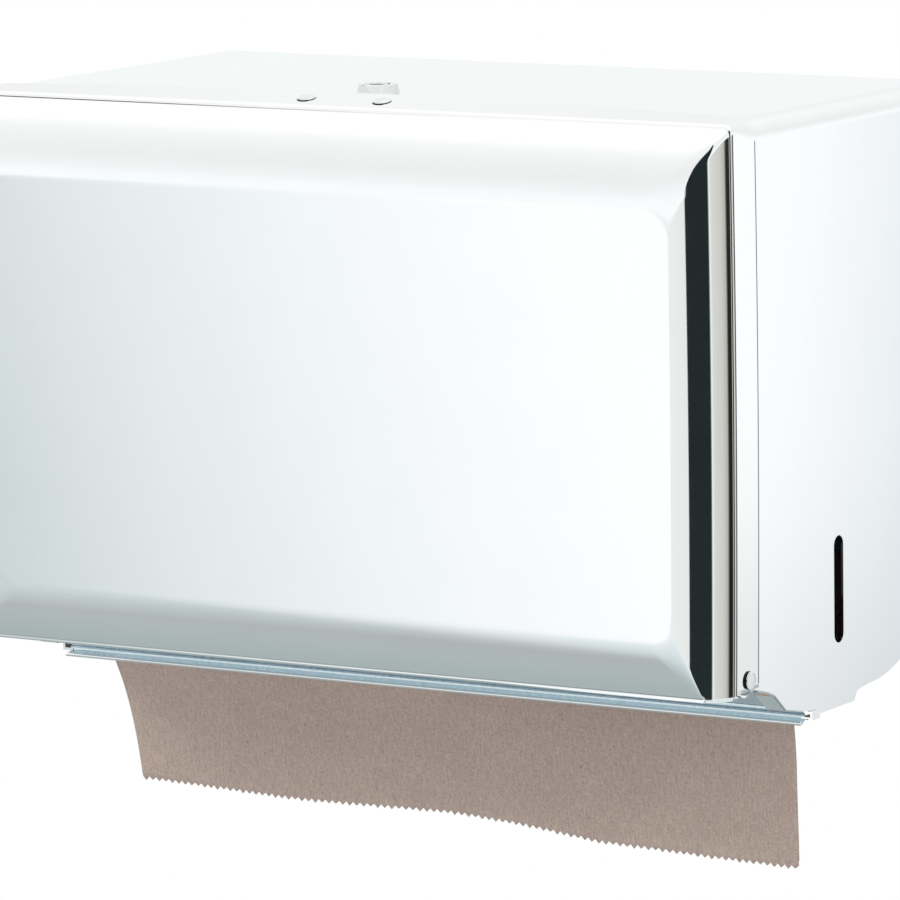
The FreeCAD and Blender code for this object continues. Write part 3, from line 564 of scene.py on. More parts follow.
def thicken(piece, thickness, inner=0, rim=0):
    """Gives a surface its thickness on the inside; inner and rim are steps in its material list."""
    solid = piece.modifiers.new("thickness", "SOLIDIFY")
    solid.thickness = thickness
    solid.offset = -1.0
    solid.use_quality_normals = True
    solid.material_offset = inner
    solid.material_offset_rim = rim
    return piece


def apply_modifiers(piece):
    """Puts the result of a piece's modifiers into its mesh."""
    evaluated = piece.evaluated_get(bpy.context.evaluated_depsgraph_get())
    mesh = bpy.data.meshes.new_from_object(evaluated)
    piece.modifiers.clear()
    piece.data = mesh


def cut_away(piece, cutter):
    """Takes a closed cutter out of a closed piece and removes the cutter."""
    step = piece.modifiers.new("cut", "BOOLEAN")
    step.operation = "DIFFERENCE"
    step.solver = "EXACT"
    step.object = cutter
    apply_modifiers(piece)
    bpy.data.objects.remove(cutter)


def prism(outline, axis, low, high):
    """Closed prism along an axis (X, Y or Z): an outline of pairs in the plane across it, at low and high."""
    outline = np.array(outline, float)
    count = len(outline)
    points = np.concatenate([np.insert(outline, axis, level, axis=1) for level in (low, high)])
    faces = [list(range(count))[::-1], list(range(count, 2 * count))]
    side = np.arange(count)
    after = (side + 1) % count
    faces += np.stack([side, after, after + count, side + count], -1).tolist()
    piece = add_piece("cutter", points, faces)
    fix_normals(piece)
    return piece


def fix_normals(piece):
    """Turns the faces of a closed mesh outwards."""
    shape = bmesh.new()
    shape.from_mesh(piece.data)
    bmesh.ops.recalc_face_normals(shape, faces=shape.faces)
    shape.to_mesh(piece.data)
    shape.free()


def smooth(piece, sharp=32.0):
    """Smooth shading, with edges over the sharp angle in degrees left crisp."""
    mesh = piece.data
    mesh.polygons.foreach_set("use_smooth", np.ones(len(mesh.polygons), bool))
    mesh.set_sharp_from_angle(angle=math.radians(sharp))
    return piece


def coat(piece, materials):
    """Gives a piece its materials, in their order."""
    for material in materials:
        piece.data.materials.append(material)
    return piece


def dress(piece, body, slot, materials, *nodes):
    """Gives a piece its materials and says which body and frame nodes it goes with; slot is not used."""
    coat(piece, materials)
    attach(piece, body)
    if nodes:
        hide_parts(*nodes)


def join(target, *others):
    """Moves the meshes of other objects into target."""
    shape = bmesh.new()
    for piece in (target, *others):
        shape.from_mesh(piece.data)
    shape.to_mesh(target.data)
    shape.free()
    for piece in others:
        bpy.data.objects.remove(piece)


def strip(name, path, low, high):
    """A surface of constant section: a (y, z) path drawn out along X from low to high."""
    path = np.asarray(path)
    stations = np.array([low, low + SUPPORT, high - SUPPORT, high])
    y, z = path[:, 0], path[:, 1]
    points = np.stack(np.broadcast_arrays(stations[:, None], y[None], z[None]), -1)
    return add_piece(name, points, grid_faces(len(stations), len(path)))


def turned(name, profile, centre, axis, steps=64):
    """A surface of revolution: a profile of (radius, height) turned about an axis through centre."""
    radius, height = np.array(profile, float).T
    axis = np.array(axis, float)
    slanting = [0.0, 0.6, 0.8] if abs(axis[0]) > 0.5 else [1.0, 0.0, 0.0]
    across = unit(np.cross(axis, slanting))
    other = np.cross(axis, across)
    turn = np.linspace(0, 2 * math.pi, steps, endpoint=False)
    spoke = np.cos(turn)[:, None] * across + np.sin(turn)[:, None] * other
    points = np.array(centre) + height[:, None, None] * axis + radius[:, None, None] * spoke[None]
    piece = add_piece(name, points, grid_faces(len(radius), steps, wrap=True))
    fix_normals(piece)
    return smooth(piece)


def rounded_rings(half, low, high, upper, lower, corner_steps=13, side_steps=14):
    """Rounded rectangles in (x, z), one per row: four quarter circles joined by straight sides.

    Points close to the ends of a side keep it flat beside its corners.
    """
    centre_x = [half - lower, half - upper, upper - half, lower - half]
    centre_z = [low + lower, high - upper, high - upper, low + lower]
    turn = np.linspace(0, math.pi / 2, corner_steps)
    corners = []
    for x, z, radius, start in zip(centre_x, centre_z, [lower, upper, upper, lower], [-90, 0, 90, 180]):
        around = math.radians(start) + turn
        corners.append(np.stack([x[:, None] + radius[:, None] * np.cos(around),
                                 z[:, None] + radius[:, None] * np.sin(around)], -1))
    near = np.array([0.004, 0.012, 0.03])
    share = np.concatenate([near, np.linspace(0.08, 0.92, side_steps), 1 - near[::-1]])[None, :, None]
    parts = []
    for corner, following in zip(corners, corners[1:] + corners[:1]):
        parts += [corner, corner[:, -1:] + (following[:, :1] - corner[:, -1:]) * share]
    return np.concatenate(parts, axis=1)


def door_rows(door):
    """Rows of the door, back to front, as (side inset, top inset, foot level, depth, drawn, lowered).

    Flange and bend: the side inset grows along a circle's arc, the top inset along an ellipse's.
    Border: at angle a the top inset is top_run (1 - cos a) and the depth rise sin a; the side inset
    is an ellipse's too, but that ellipse is cut off at the crown angle c, where sin b = sin a sin c
    and the inset is run (1 - cos b) / (1 - cos c). Under the lip the foot is level; a short
    step lies over the lip, and over that the foot falls back by foot_fall (s / foot_run)^2 at a
    distance s under the flat centre.
    """
    front, back = FACE_FRONT, FACE_FRONT + (door.flange + door.edge_bend) / MM
    bend, inset, top_inset = door.edge_bend / MM, door.inset / MM, door.top_inset / MM
    slope, rise, foot = door.slope / MM, FACE_FRONT - DOOR_LOW[1], DOOR_LOW[2]
    curled = door.curl_length / MM
    rows = []
    depths = [*(back - curled * np.linspace(0, 1, 6)), back - curled - SUPPORT, (back + front) / 2,
              front + OPEN_FROM, front + bend + SUPPORT, front + bend]
    for y in depths:
        curl = door.curl / MM * max(0.0, (y - back + curled) / curled) ** 2
        sunk = slope * (back - y) / (back - front)
        rows.append((curl, curl + sunk, foot, y, 0.0, 0.0))
    end = math.acos(1 - inset / bend)
    for turn in np.linspace(0, end, 8)[1:]:
        drawn_in = 1 - math.cos(turn)
        rows.append((bend * drawn_in, slope + top_inset * drawn_in / (1 - math.cos(end)), foot,
                     front + bend * (1 - math.sin(turn)), 0.0, 0.0))

    def border(turn, level, lowered=0.0):
        drawn_in = 1 - math.cos(turn)
        side_turn = math.asin(math.sin(turn) * math.sin(door.crown_angle))
        side_share = (1 - math.cos(side_turn)) / (1 - math.cos(door.crown_angle))
        rows.append((inset + door.run / MM * side_share, slope + top_inset + door.top_run / MM * drawn_in,
                     level, front - rise * math.sin(turn), drawn_in, lowered))

    radius, lip, lip_step = door.lip_bend / MM, door.lip / MM, door.lip_step / MM
    lip_depth = rise - door.foot_fall / MM - lip_step * STEP_SLANT
    lip_angle = math.asin(lip_depth / rise)
    for turn in np.linspace(0, math.asin((lip_depth - radius) / rise), 26):
        border(turn, foot)
    for turn in np.radians(np.arange(11, 90, 11)):
        under_lip = math.asin((lip_depth - radius * (1 - math.sin(turn))) / rise)
        border(under_lip, foot + radius * (1 - math.cos(turn)))
    step_angle = math.asin((rise - door.foot_fall / MM) / rise)
    border(lip_angle, foot + radius + LIP_START)
    border(lip_angle + TINY, foot + lip)
    border(step_angle, foot + lip + lip_step)
    crown_foot = foot + lip + lip_step + door.foot_run / MM
    for turn in np.linspace(step_angle, math.pi / 2, 34)[1:]:
        fallen = math.sqrt(rise * (1 - math.sin(turn)) * MM / door.foot_fall)
        border(turn, crown_foot - door.foot_run / MM * fallen, 1 - fallen)
    return np.array(rows)


def make_door(settings, metals):
    """The door pressing as rings from the flange to the crown, closed by a flat centre.

    A side's belly goes with 1 - 2 h^2 at a height h from -1 to 1, and the flange's bow with
    1 - x^2 from 0 in the middle to 1 at an end, both as shares of the half size.
    """
    door = settings.door
    side, head, foot, depth, drawn, lowered = door_rows(door).T
    behind = np.clip((depth - FACE_FRONT) / (depth[0] - FACE_FRONT), 0, 1)
    corner, crown = door.corner / MM, door.crown_corner / MM
    upper = corner + (door.back_corner / MM - corner) * behind + (crown - corner) * drawn
    lower = FOOT_CORNER + (crown - FOOT_CORNER) * np.clip(lowered, 0, 1)
    rings = rounded_rings(DOOR_HIGH[0] - side, foot + FOOT_RISE * behind, DOOR_TOP - head, upper, lower)
    count = rings.shape[1]
    middle = np.array([0.0, (DOOR_LOW[2] + DOOR_TOP) / 2])
    # Rings within the flat centre, as shares of its size; those close to its edge keep it flat
    shares = np.array([0.9985, 0.985, 0.6, 0.2])
    plan = np.concatenate([rings, middle + (rings[-1] - middle)[None] * shares[:, None, None]])
    y = np.concatenate([depth, np.full(len(shares), depth[-1])])
    points = np.stack([plan[..., 0], np.broadcast_to(y[:, None], plan.shape[:2]), plan[..., 1]], -1)
    # The rows from the foot to the upright start of the lip close up towards the right end
    rounding = points[..., 2] - DOOR_LOW[2]
    close_from, close_width, closed = LIP_CLOSE
    kept = 1 - closed * ease((points[..., 0] - close_from) / close_width)
    rounded = (rounding < door.lip_bend / MM + 1.2 * LIP_START) & (points[..., 1] < FACE_FRONT)
    points[..., 2] -= np.where(rounded, rounding * (1 - kept), 0)
    height = (points[..., 2] - middle[1]) / (DOOR_TOP - middle[1])
    points[..., 0] *= 1 + door.belly / MM / DOOR_HIGH[0] * (1 - 2 * height ** 2)
    lift = door.bow / MM * np.concatenate([behind, np.zeros(len(shares))])
    across = 1 - (points[..., 0] / DOOR_HIGH[0]) ** 2
    points[..., 2] += np.where(points[..., 2] > 0, lift[:, None] * across, 0)
    rows = len(points)
    quads = grid_faces(rows, count, wrap=True)
    flat = points.reshape(-1, 3)
    corners = flat[quads]
    open_back = corners[..., 1].min(1) > FACE_FRONT + OPEN_FROM - 0.1
    quads = quads[~(open_back & (corners[..., 2].max(1) < DOOR_LOW[2] + OPEN_UP_TO))]
    last = (rows - 1) * count + np.arange(count)
    fan = np.stack([last, np.roll(last, -1), np.full(count, rows * count)], -1)
    pole = np.array([[middle[0], y[-1], middle[1]]])
    piece = add_piece("door_pressing", np.concatenate([flat, pole]), quads.tolist() + fan.tolist())
    smooth(piece, 14)
    thicken(piece, settings.sheet.thickness, inner=1, rim=2)
    dress(piece, "door", "polished_sheet", metals, "door_panel")


def side_outline():
    """Lower edge of a cabinet side in (y, z): hinge nose, hem, towel mouth and the rear quarter circle."""
    nose = arc(PIVOT, NOSE_RADIUS, 180, 270, 12)
    edge = rounded_path(SIDE_EDGE, SIDE_EDGE_RADII, turn_step=9.0, support=0.2)
    rear = arc((SIDE_EDGE[-1][0], SIDE_EDGE[-1][1] + REAR_CURVE), REAR_CURVE, 270, 360, 40)
    return np.concatenate([nose[:-1], edge, rear[1:]])


def ease(value):
    """Smooth step from 0 to 1."""
    value = np.clip(value, 0, 1)
    return value * value * (3 - 2 * value)


def make_cabinet(settings, metals):
    """The cabinet as a wrap: rows go up one side, over the top and down the other, columns run to the wall.

    Where the hem runs, a side ends in a quarter circle about a line inside its lower edge and
    goes on inwards as the hem; elsewhere that circle and the hem have no size. The rows close to
    the ends of a flat run keep it flat.
    """
    sheet = settings.sheet
    outline = side_outline()
    outward = -path_normals(outline)
    half, top, bend = SHELL_HIGH[0], SHELL_HIGH[2], sheet.bend / MM
    hem = ease((outline[:, 0] - HEM_RANGE[0]) / HEM_FADE) * ease((HEM_RANGE[1] - outline[:, 0]) / HEM_FADE)
    radius = sheet.hem_bend / MM * hem
    width = sheet.hem_width / MM * hem
    base = outline - outward * radius[:, None]
    rows = [np.column_stack([half - radius - width, outline])]
    for turn in np.radians(np.linspace(90, 0, 9)):
        pair = base + outward * (radius * math.sin(turn))[:, None]
        rows.append(np.column_stack([half - radius + radius * math.cos(turn), pair]))
    bend_start = np.column_stack([outline[:, 0], np.full(len(outline), top - bend)])
    for share in (0.0015, 0.01, 0.3, 0.65, 0.9, 0.997):
        pair = base + (bend_start - base) * share
        rows.append(np.column_stack([np.full(len(pair), half), pair]))
    for turn in np.radians(np.linspace(0, 90, 19)):
        x = half - bend + bend * math.cos(turn)
        z = top - bend + bend * math.sin(turn)
        rows.append(np.column_stack([np.full(len(outline), x), outline[:, 0], np.full(len(outline), z)]))
    past_bend = 0.4
    rows.append(rows[-1] - np.array([past_bend, 0.0, 0.0]))
    right = np.stack(rows)
    left = right[::-1] * np.array([-1.0, 1.0, 1.0])
    points = np.concatenate([right, left])
    piece = smooth(coat(add_piece("cabinet_wrap", points, grid_faces(*points.shape[:2])), metals))
    apply_modifiers(thicken(piece, sheet.thickness, inner=1, rim=2))
    end = (SLOT_LENGTH - SLOT_WIDTH) / 2
    slot = np.concatenate([arc((SLOT_Y, SLOT_MIDDLE + end), SLOT_WIDTH / 2, 0, 180, 24),
                           arc((SLOT_Y, SLOT_MIDDLE - end), SLOT_WIDTH / 2, 180, 360, 24)])
    cut_away(piece, prism(slot, X, -half - 2 * CUT_REACH, half + 2 * CUT_REACH))
    hole = arc(LOCK_MIDDLE[:2], LOCK_HOLE, 0, 360, 49)[:-1]
    ends = NOTCH_MIDDLE - NOTCH_HALF, NOTCH_MIDDLE + NOTCH_HALF
    front = SHELL_LOW[1] - CUT_REACH
    notch = [(ends[0], front), (ends[1], front), (ends[1], NOTCH_BACK), (ends[0], NOTCH_BACK)]
    for opening in (hole, notch):
        cut_away(piece, prism(opening, Z, top - CUT_REACH, top + CUT_REACH))
    smooth(piece)
    dress(piece, "cabinet", "polished_sheet", [], "cabinet_shell")


def make_back(settings, metals):
    """Back sheet: a strip from the top flange down the wall and round the rear curve, with side flanges."""
    half, top = BACK_HIGH[0], BACK_HIGH[2]
    path = rounded_path([(BACK_LOW[1], BACK_LOW[2]), (0.0, BACK_LOW[2]), (0.0, top), (-BACK_FLANGE, top)],
                        [REAR_CURVE, BACK_BEND], turn_step=3.0)
    piece = strip("back_sheet", path, -half, half)
    flanges = []
    for side in (-1, 1):
        points = [(side * half, y, z) for z in (BACK_LOW[2] + REAR_CURVE, top - TOP_GAP)
                  for y in (-BACK_FLANGE, -WALL_GAP)]
        faces = [[0, 1, 3, 2]] if side > 0 else [[0, 2, 3, 1]]
        flanges.append(add_piece("flange", points, faces))
    join(piece, *flanges)
    apply_modifiers(thicken(coat(piece, metals), settings.sheet.thickness, inner=0, rim=1))
    for x in (-HOLE_X, HOLE_X):
        for z in (-HOLE_Z, HOLE_Z):
            cut_away(piece, prism(arc((x, z), HOLE_RADIUS, 0, 360, 33)[:-1], Y, -CUT_REACH, CUT_REACH))
    smooth(piece)
    dress(piece, "cabinet", "polished_sheet", [], "back_panel")


def make_ledge(settings, metals):
    """Front towel ledge: upstand, slope and shelf, with a rolled lip of thinner sheet under it."""
    half = -LEDGE_LOW[0] - LEDGE_INSET
    ledge = strip("towel_ledge", rounded_path(LEDGE_PATH, LEDGE_RADII, turn_step=5.0), -half, half)
    apply_modifiers(thicken(ledge, settings.sheet.thickness))
    lip = strip("lip", rounded_path(LIP_PATH, LIP_RADII, turn_step=5.0, support=0.1), -LIP_HALF, LIP_HALF)
    apply_modifiers(thicken(lip, settings.sheet.thickness / 2))
    satin = 1
    for part in (ledge, lip):
        part.data.polygons.foreach_set("material_index", np.full(len(part.data.polygons), satin))
    rods = [prism(arc(middle, BEAD_RADIUS, 0, 360, 33)[:-1], X, -LIP_HALF, LIP_HALF)
            for middle in (RIDGE_MIDDLE, BEAD_MIDDLE)]
    join(ledge, lip, *rods, clinch_tab(-1), clinch_tab(1))
    smooth(ledge, 40)
    dress(ledge, "cabinet", "polished_sheet", metals, "front_ledge")


def clinch_tab(side):
    """Tab of the ledge that is bent up round the outside of a side: an L-shaped section along Y."""
    inner, outer = side * (LIP_HALF - TAB_OVERLAP), side * (SHELL_HIGH[0] + TAB_STAND)
    foot, wall = SIDE_EDGE[6][1] - TAB_STAND, outer - side * TAB_SHEET
    outline = [(inner, foot), (outer, foot), (outer, foot + TAB_HEIGHT), (wall, foot + TAB_HEIGHT),
               (wall, foot + TAB_SHEET), (inner, foot + TAB_SHEET)]
    return prism(outline, Y, *TAB_RANGE)


def make_rear_lip(settings, metals):
    """Strip that edges the back of the towel mouth, turned down, with a bead along its foot."""
    bend, bead, inset = 2.2, 0.9, 0.5
    front, foot = LIP_LOW[1] + inset, LIP_LOW[2] + bead
    path = rounded_path([(LIP_HIGH[1], LIP_HIGH[2]), (front, LIP_HIGH[2]), (front, foot)], [bend])
    piece = strip("mouth_lip", path[::-1], LIP_LOW[0], LIP_HIGH[0])
    apply_modifiers(thicken(piece, settings.sheet.thickness))
    join(piece, prism(arc((LIP_LOW[1] + bead, foot), bead, 0, 360, 25)[:-1], X, LIP_LOW[0], LIP_HIGH[0]))
    smooth(piece, 40)
    dress(piece, "cabinet", "polished_sheet", metals, "rear_lip")


def rivet_head(radius, rise, wall, height, stand=0.0):
    """Profile of a head: a low dome, a small rounding, an upright wall and a cone down to the sheet.

    The cone ends a stand under the head's top, or just under the wall where that is lower.
    """
    edge = 0.1
    shoulder = height - rise - edge
    foot = min(height - stand, shoulder - wall - 0.01)
    dome = dome_profile(radius - edge, rise) + np.array([0.0, height - rise])
    return np.concatenate([dome, [(radius - edge / 3, shoulder + edge * 2 / 3), (radius, shoulder),
                                  (radius, shoulder - wall), (NECK, foot), (SHANK, foot)]])


def paint_wall_shade(piece, axis):
    """Gives the second material, a painted shade, to the faces that stand along an axis (X, Y or Z): their
    darkness stands in for shade.
    """
    normals = np.empty(len(piece.data.polygons) * 3)
    piece.data.polygons.foreach_get("normal", normals)
    upright = np.abs(normals.reshape(-1, 3)[:, axis]) < 0.3
    piece.data.polygons.foreach_set("material_index", upright.astype(int))


def dome_profile(radius, rise, steps=12):
    """Profile of a low domed head, from the middle of its top to its rim: an arc of one ball."""
    ball = (radius ** 2 + rise ** 2) / (2 * rise)
    end = math.asin(radius / ball)
    turn = np.linspace(0, end, steps)
    return np.stack([ball * np.sin(turn), rise - ball * (1 - np.cos(turn))], -1)


def flange_level(door, x, y):
    """Level of the top of the door's upper flange over a point of the plan."""
    behind = (y - FACE_FRONT) * MM / (door.flange + door.edge_bend)
    bowed = door.bow * behind * (1 - (x / DOOR_HIGH[0]) ** 2)
    return DOOR_TOP + (bowed - door.slope * (1 - behind)) / MM


def make_rivets(settings, metals):
    """Two hinge rivets on the sides and two catch rivets on the top flange, each turned about its axis.

    A hinge rivet's head stands just proud of the door flange. A catch rivet's axis is upright on
    the bowed flange, whose slope is taken over a short step, and its head lies on the flange.
    """
    proud = 0.5
    tail = np.array([(SHANK, 0.8), (2.75, 0.7), (2.75, 0.1), (2.6, 0.0), (0.0, 0.0)])
    for side, word in ((-1, "left"), (1, "right")):
        low, high = box_mm("hinge_rivet_" + word)
        inner = min(abs(low[0]), abs(high[0]))
        head = rivet_head(radius=2.8, rise=0.01, wall=0.85, height=DOOR_HIGH[0] + proud - inner)
        foot = (low[0] if side > 0 else high[0], *PIVOT)
        piece = turned("hinge_rivet_head_" + word, np.concatenate([head, tail]), foot, (side, 0, 0))
        # The head's upright wall gets the painted shade
        paint_wall_shade(piece, X)
        dress(piece, "cabinet", "bright_rivet", metals, "hinge_rivet_" + word)
    radius, stand, height, step = 3.0, 0.4, 3.3, 0.5
    profile = np.concatenate([rivet_head(radius, rise=0.12, wall=0.18, height=height, stand=stand),
                              [(SHANK, 0.7), (NECK, 0.7), (NECK, 0.0), (0.0, 0.0)]])
    middle = RIVET_MIDDLE[1]
    rivets = []
    for x in (RIVET_LOW[0] + radius, RIVET_HIGH[0] - radius):
        level, ahead = (flange_level(settings.door, x, y) for y in (middle, middle - step))
        axis = unit(np.array([0.0, ahead - level, step]))
        foot = np.array([x, middle, level]) - axis * (height - stand)
        rivets.append(turned("catch_rivet_heads", profile, foot, axis))
    join(*rivets)
    smooth(rivets[0])
    # The heads' upright walls get the painted shade
    paint_wall_shade(rivets[0], Z)
    dress(rivets[0], "door", "bright_rivet", metals, "catch_rivets")


def make_lock(settings, chrome):
    """Lock barrel turned about its axis: rounded rim, recessed face round the plug, threaded body."""
    lock = settings.lock
    height = LOCK_HIGH[2] - LOCK_LOW[2]
    rim, edge, rise = (LOCK_HIGH[0] - LOCK_LOW[0]) / 2, lock.rim_edge / MM, lock.rim_rise / MM
    bore, body, pitch, thread_depth = 4.05, 5.9, 1.0, 0.25
    tilt = math.degrees(math.atan(lock.taper / lock.rim_rise))
    rounding = arc((rim - lock.taper / MM - edge, height - edge), edge, 90, tilt, 7)
    first, last = 0.5, height - rise - 0.6
    crests = np.arange(first, last, pitch / 2)
    thread = np.stack([body - thread_depth * (np.arange(len(crests)) % 2), crests[::-1]], -1)
    mouth = [(bore, height - 0.25), (bore + 0.2, height - 0.05), (bore + 0.45, height)]
    profile = np.concatenate([[(bore, 0.0)], mouth, rounding, [(rim, height - rise), (body, height - rise)],
                              thread, [(body - thread_depth, 0.0), (bore, 0.0)]])
    piece = turned("lock_body", profile, (*LOCK_MIDDLE[:2], LOCK_LOW[2]), (0, 0, 1), steps=72)
    dress(piece, "cabinet", "lock_chrome", [chrome], "lock_barrel")


def finish_nodes(materials):
    """Gives the frame nodes that stay in view their own metal."""
    nodes_of = {
        ("zinc", "zinc_steel"): (
            "hinge_washer_left", "hinge_washer_right", "lock_washer", "lock_nut", "lock_cam", "cam_washer",
            "cam_screw", "door_catch"),
        ("chrome", "lock_chrome"): ("lock_plug",),
        ("brass", "wafer_brass"): ("lock_wafers",),
    }
    for (metal, slot), names in nodes_of.items():
        for name in names:
            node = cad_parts[name]
            node.data.materials.clear()
            coat(node, [materials[metal]])


def paper_sheet(name, points, cut, ply):
    """A paper sheet from a grid of points; its UV map holds each point's place on the flat cut, in metres."""
    rows, columns = points.shape[:2]
    mesh = bpy.data.meshes.new(name)
    faces = grid_faces(rows, columns)
    mesh.from_pydata((points.reshape(-1, 3) * MM).tolist(), [], faces.tolist())
    layer = mesh.uv_layers.new(name="cut")
    corners = np.empty(len(mesh.loops), int)
    mesh.loops.foreach_get("vertex_index", corners)
    layer.data.foreach_set("uv", (cut.reshape(-1, 2)[corners] * MM).astype(np.float32).ravel())
    mesh.polygons.foreach_set("use_smooth", np.ones(len(faces), bool))
    piece = add_object(name, mesh)
    solid = piece.modifiers.new("ply", "SOLIDIFY")
    solid.thickness = ply
    solid.offset = 0.0
    return piece


def saw_teeth(count):
    """Share of the tooth depth at each column: two columns a tooth, with a little unevenness."""
    columns = np.arange(2 * count + 1)
    uneven = sum(depth * np.sin(columns * turn + shift) for depth, turn, shift in TOOTH_WAVES)
    return np.where(columns % 2 == 1, 1.0 + uneven, 0.0)


def run_lengths(path):
    """Distance along a path at each of its points."""
    steps = np.linalg.norm(np.diff(path, axis=0), axis=-1)
    return np.concatenate([[0.0], np.cumsum(steps)])


def leaf_fold(lower, upper, forward, gap):
    """Half circle that joins two leaves at their ends, as rows of points on from the lower one."""
    turn = np.radians([30, 60, 90, 120, 150]).reshape(-1, *[1] * lower.ndim)
    middle = (lower + upper) / 2
    return middle + (lower - middle) * np.cos(turn) + forward * np.sin(turn) * gap / 2


def make_hanging_towel(settings, paper):
    """The towel that hangs out: two leaves from the foot up through the mouth to the fold inside.

    Each column is a curve through the edge points, blended from the left edge to the right one,
    carried on along the rear curve; a slow wave across the sheet fades out towards the mouth.
    """
    towels = settings.towels
    columns = 2 * towels.teeth + 1
    share = np.linspace(0, 1, columns)
    left = smooth_curve(FALL_LEFT, 5)
    right = smooth_curve(FALL_RIGHT, 5)
    curve_centre = np.array(FALL_LEFT[-1]) + np.array([0.0, FALL_CURVE])
    turn = np.linspace(0, FALL_TURN, 10)[1:]
    tail = curve_centre + FALL_CURVE * np.stack([np.sin(turn), -np.cos(turn)], -1)
    hanging = left[:, None] * (1 - share)[None, :, None] + right[:, None] * share[None, :, None]
    leaf = np.concatenate([hanging, np.broadcast_to(tail[:, None], (len(tail), columns, 2))])
    x = (share - 0.5) * towels.width / MM
    loose, drop = (ease((start - leaf[..., 1]) / reach) for start, reach in (WAVE_FADE, FOOT_FADE))
    wave = sum(depth * np.sin(x / radian + shift) for depth, radian, shift in WAVES)
    leaf[..., 0] += wave[None] * loose
    foot_line = np.interp(x, *np.transpose(FOOT_LINE))
    foot_line -= FALL_LEFT[0][1] * (1 - share) + FALL_RIGHT[0][1] * share
    leaf[..., 1] += foot_line[None] * drop
    leaf[0, :, 1] -= saw_teeth(towels.teeth) * towels.tooth / MM
    tangent = np.gradient(leaf, axis=0)
    tangent /= np.linalg.norm(tangent, axis=-1)[..., None] + TINY
    second = leaf + LEAF_GAP * np.stack([tangent[..., 1], -tangent[..., 0]], -1)
    second[:2, :, 1] += np.array(REAR_STEPS)[:, None]
    section = np.concatenate([leaf, leaf_fold(leaf[-1], second[-1], tangent[-1], LEAF_GAP), second[::-1]])
    points = np.stack([np.broadcast_to(x, section.shape[:2]), section[..., 0], section[..., 1]], -1)
    run = run_lengths(section[:, columns // 2])
    cut = np.stack(np.broadcast_arrays(x[None] + CUT_MIDDLE, run[:, None]), -1)
    piece = paper_sheet("drawn_towel", points, cut, towels.ply)
    dress(piece, "cabinet", "kraft_towel", [paper], "hanging_towel")


def stack_base():
    """Lower face of the stack in (y, z), from its front edge over the mouth and up the rear curve."""
    reach = STACK_CURVE * math.tan(STACK_TURN / 2)
    corner = np.array([-REAR_CURVE + reach, STACK_LEVEL])
    straight = 0.5
    end = corner + (reach + straight) * np.array([math.cos(STACK_TURN), math.sin(STACK_TURN)])
    return rounded_path([*STACK_PATH, corner, end], STACK_RADII, turn_step=8.0, support=1.0)


def make_stack(settings, paper):
    """The stack: each towel is two leaves along the stack's lower face, joined by a fold at the rear.

    The front ends are saw-toothed; each towel lies a little askew, by a fixed seed.
    """
    towels = settings.towels
    base = stack_base()
    normal = path_normals(base)
    columns = 2 * towels.teeth + 1
    x = np.linspace(-0.5, 0.5, columns) * towels.width / MM
    teeth = saw_teeth(towels.teeth) * towels.tooth / MM
    pitch = STACK_HEIGHT / towels.count
    gap = pitch * 0.5
    scatter = np.random.default_rng(7)
    for index in range(towels.count):
        height = STACK_FOOT + pitch * index
        slip, skew, shift = (scatter.uniform(-most, most) for most in ASKEW)
        lower, upper = base + normal * height, base + normal * (height + gap)
        fold = leaf_fold(lower[-1], upper[-1], unit(lower[-1] - lower[-2]), gap)
        section = np.concatenate([lower, fold, upper[::-1]])
        grid = np.broadcast_to(section[:, None], (len(section), columns, 2)).copy()
        start = unit(lower[1] - lower[0])
        reach = FRONT_REACH - slip - skew * x / TOWEL_HALF
        grid[0] += start * (reach - teeth)[:, None]
        grid[-1] += start * (reach + UPPER_REACH - teeth)[:, None]
        points = np.stack([np.broadcast_to(x + shift, grid.shape[:2]), grid[..., 0], grid[..., 1]], -1)
        run = run_lengths(section)
        cut = np.stack(np.broadcast_arrays(x[None] + CUT_MIDDLE + CUT_STEP * index, run[:, None]), -1)
        piece = paper_sheet(f"stacked_towel_{index + 1:02d}", points, cut, towels.ply)
        dress(piece, "cabinet", "kraft_towel", [paper], *(["towel_stack"] if index == 0 else []))


# Light seen by the polished sheet, by direction: degrees and sRGB colours. Azimuth 0 is straight in
# front and 90 is to the right. The band lies just under the horizon. From behind and round by the
# left it shows a grey wall, a white wall, a black flag, a pale screen, a dark gap and a strip light.
BAND = [
    (-180, "#4A5458"), (-135, "#525E64"), (-124, "#F2F5F5"), (-60, "#DCE2E2"), (-36.5, "#C8D1D0"),
    (-34.75, "#CDD6D5"), (-34.4, "#DAE1E2"), (-33.4, "#E5EBEC"), (-31.8, "#F2F7F8"), (-29.9, "#FEFFFF"),
    (-28.6, "#FEFFFF"), (-25.7, "#EBF0F0"), (4.4, "#E4E8E4"), (5.4, "#FAFBF9"), (6.4, "#E9EBE8"),
    (8.0, "#353B3D"), (8.8, "#22292A"), (42.8, "#202928"), (44.6, "#6A706E"), (46.3, "#EFF3EE"),
    (51.5, "#D2D7D0"), (82.0, "#CBC9C4"), (105.0, "#B0B0A8"), (110.5, "#6E6F69"), (116.0, "#22211D"),
    (147.6, "#262A27"), (150.2, "#FEFFFF"), (151.7, "#FEFFFF"), (152.6, "#E4EBEC"), (157.0, "#BFC9CF"),
    (161.0, "#525E64"),
]
# The surround by height: from the floor, over the wall and its softer middle, to the white ceiling
HEIGHTS = [
    (-90, "#6C7678"), (-66, "#7C8688"), (-58, "#9AA4A4"), (-50, "#A2ADAE"), (-35, "#A7B2B1"),
    (-26, "#ADB7B8"), (-23, "#B1BCBD"), (-20, "#BBC8C8"), (-17, "#CFDADA"), (-13.6, "#E2EAEA"),
    (-10.6, "#EFF4F4"), (-6, "#F8FCFC"), (-1, "#F7FBFB"), (3.3, "#F0F4F3"), (10, "#ECEEED"),
    (18, "#EFF1F0"), (27, "#F4F6F5"), (33.4, "#FAFCFB"), (38, "#FFFFFF"),
]
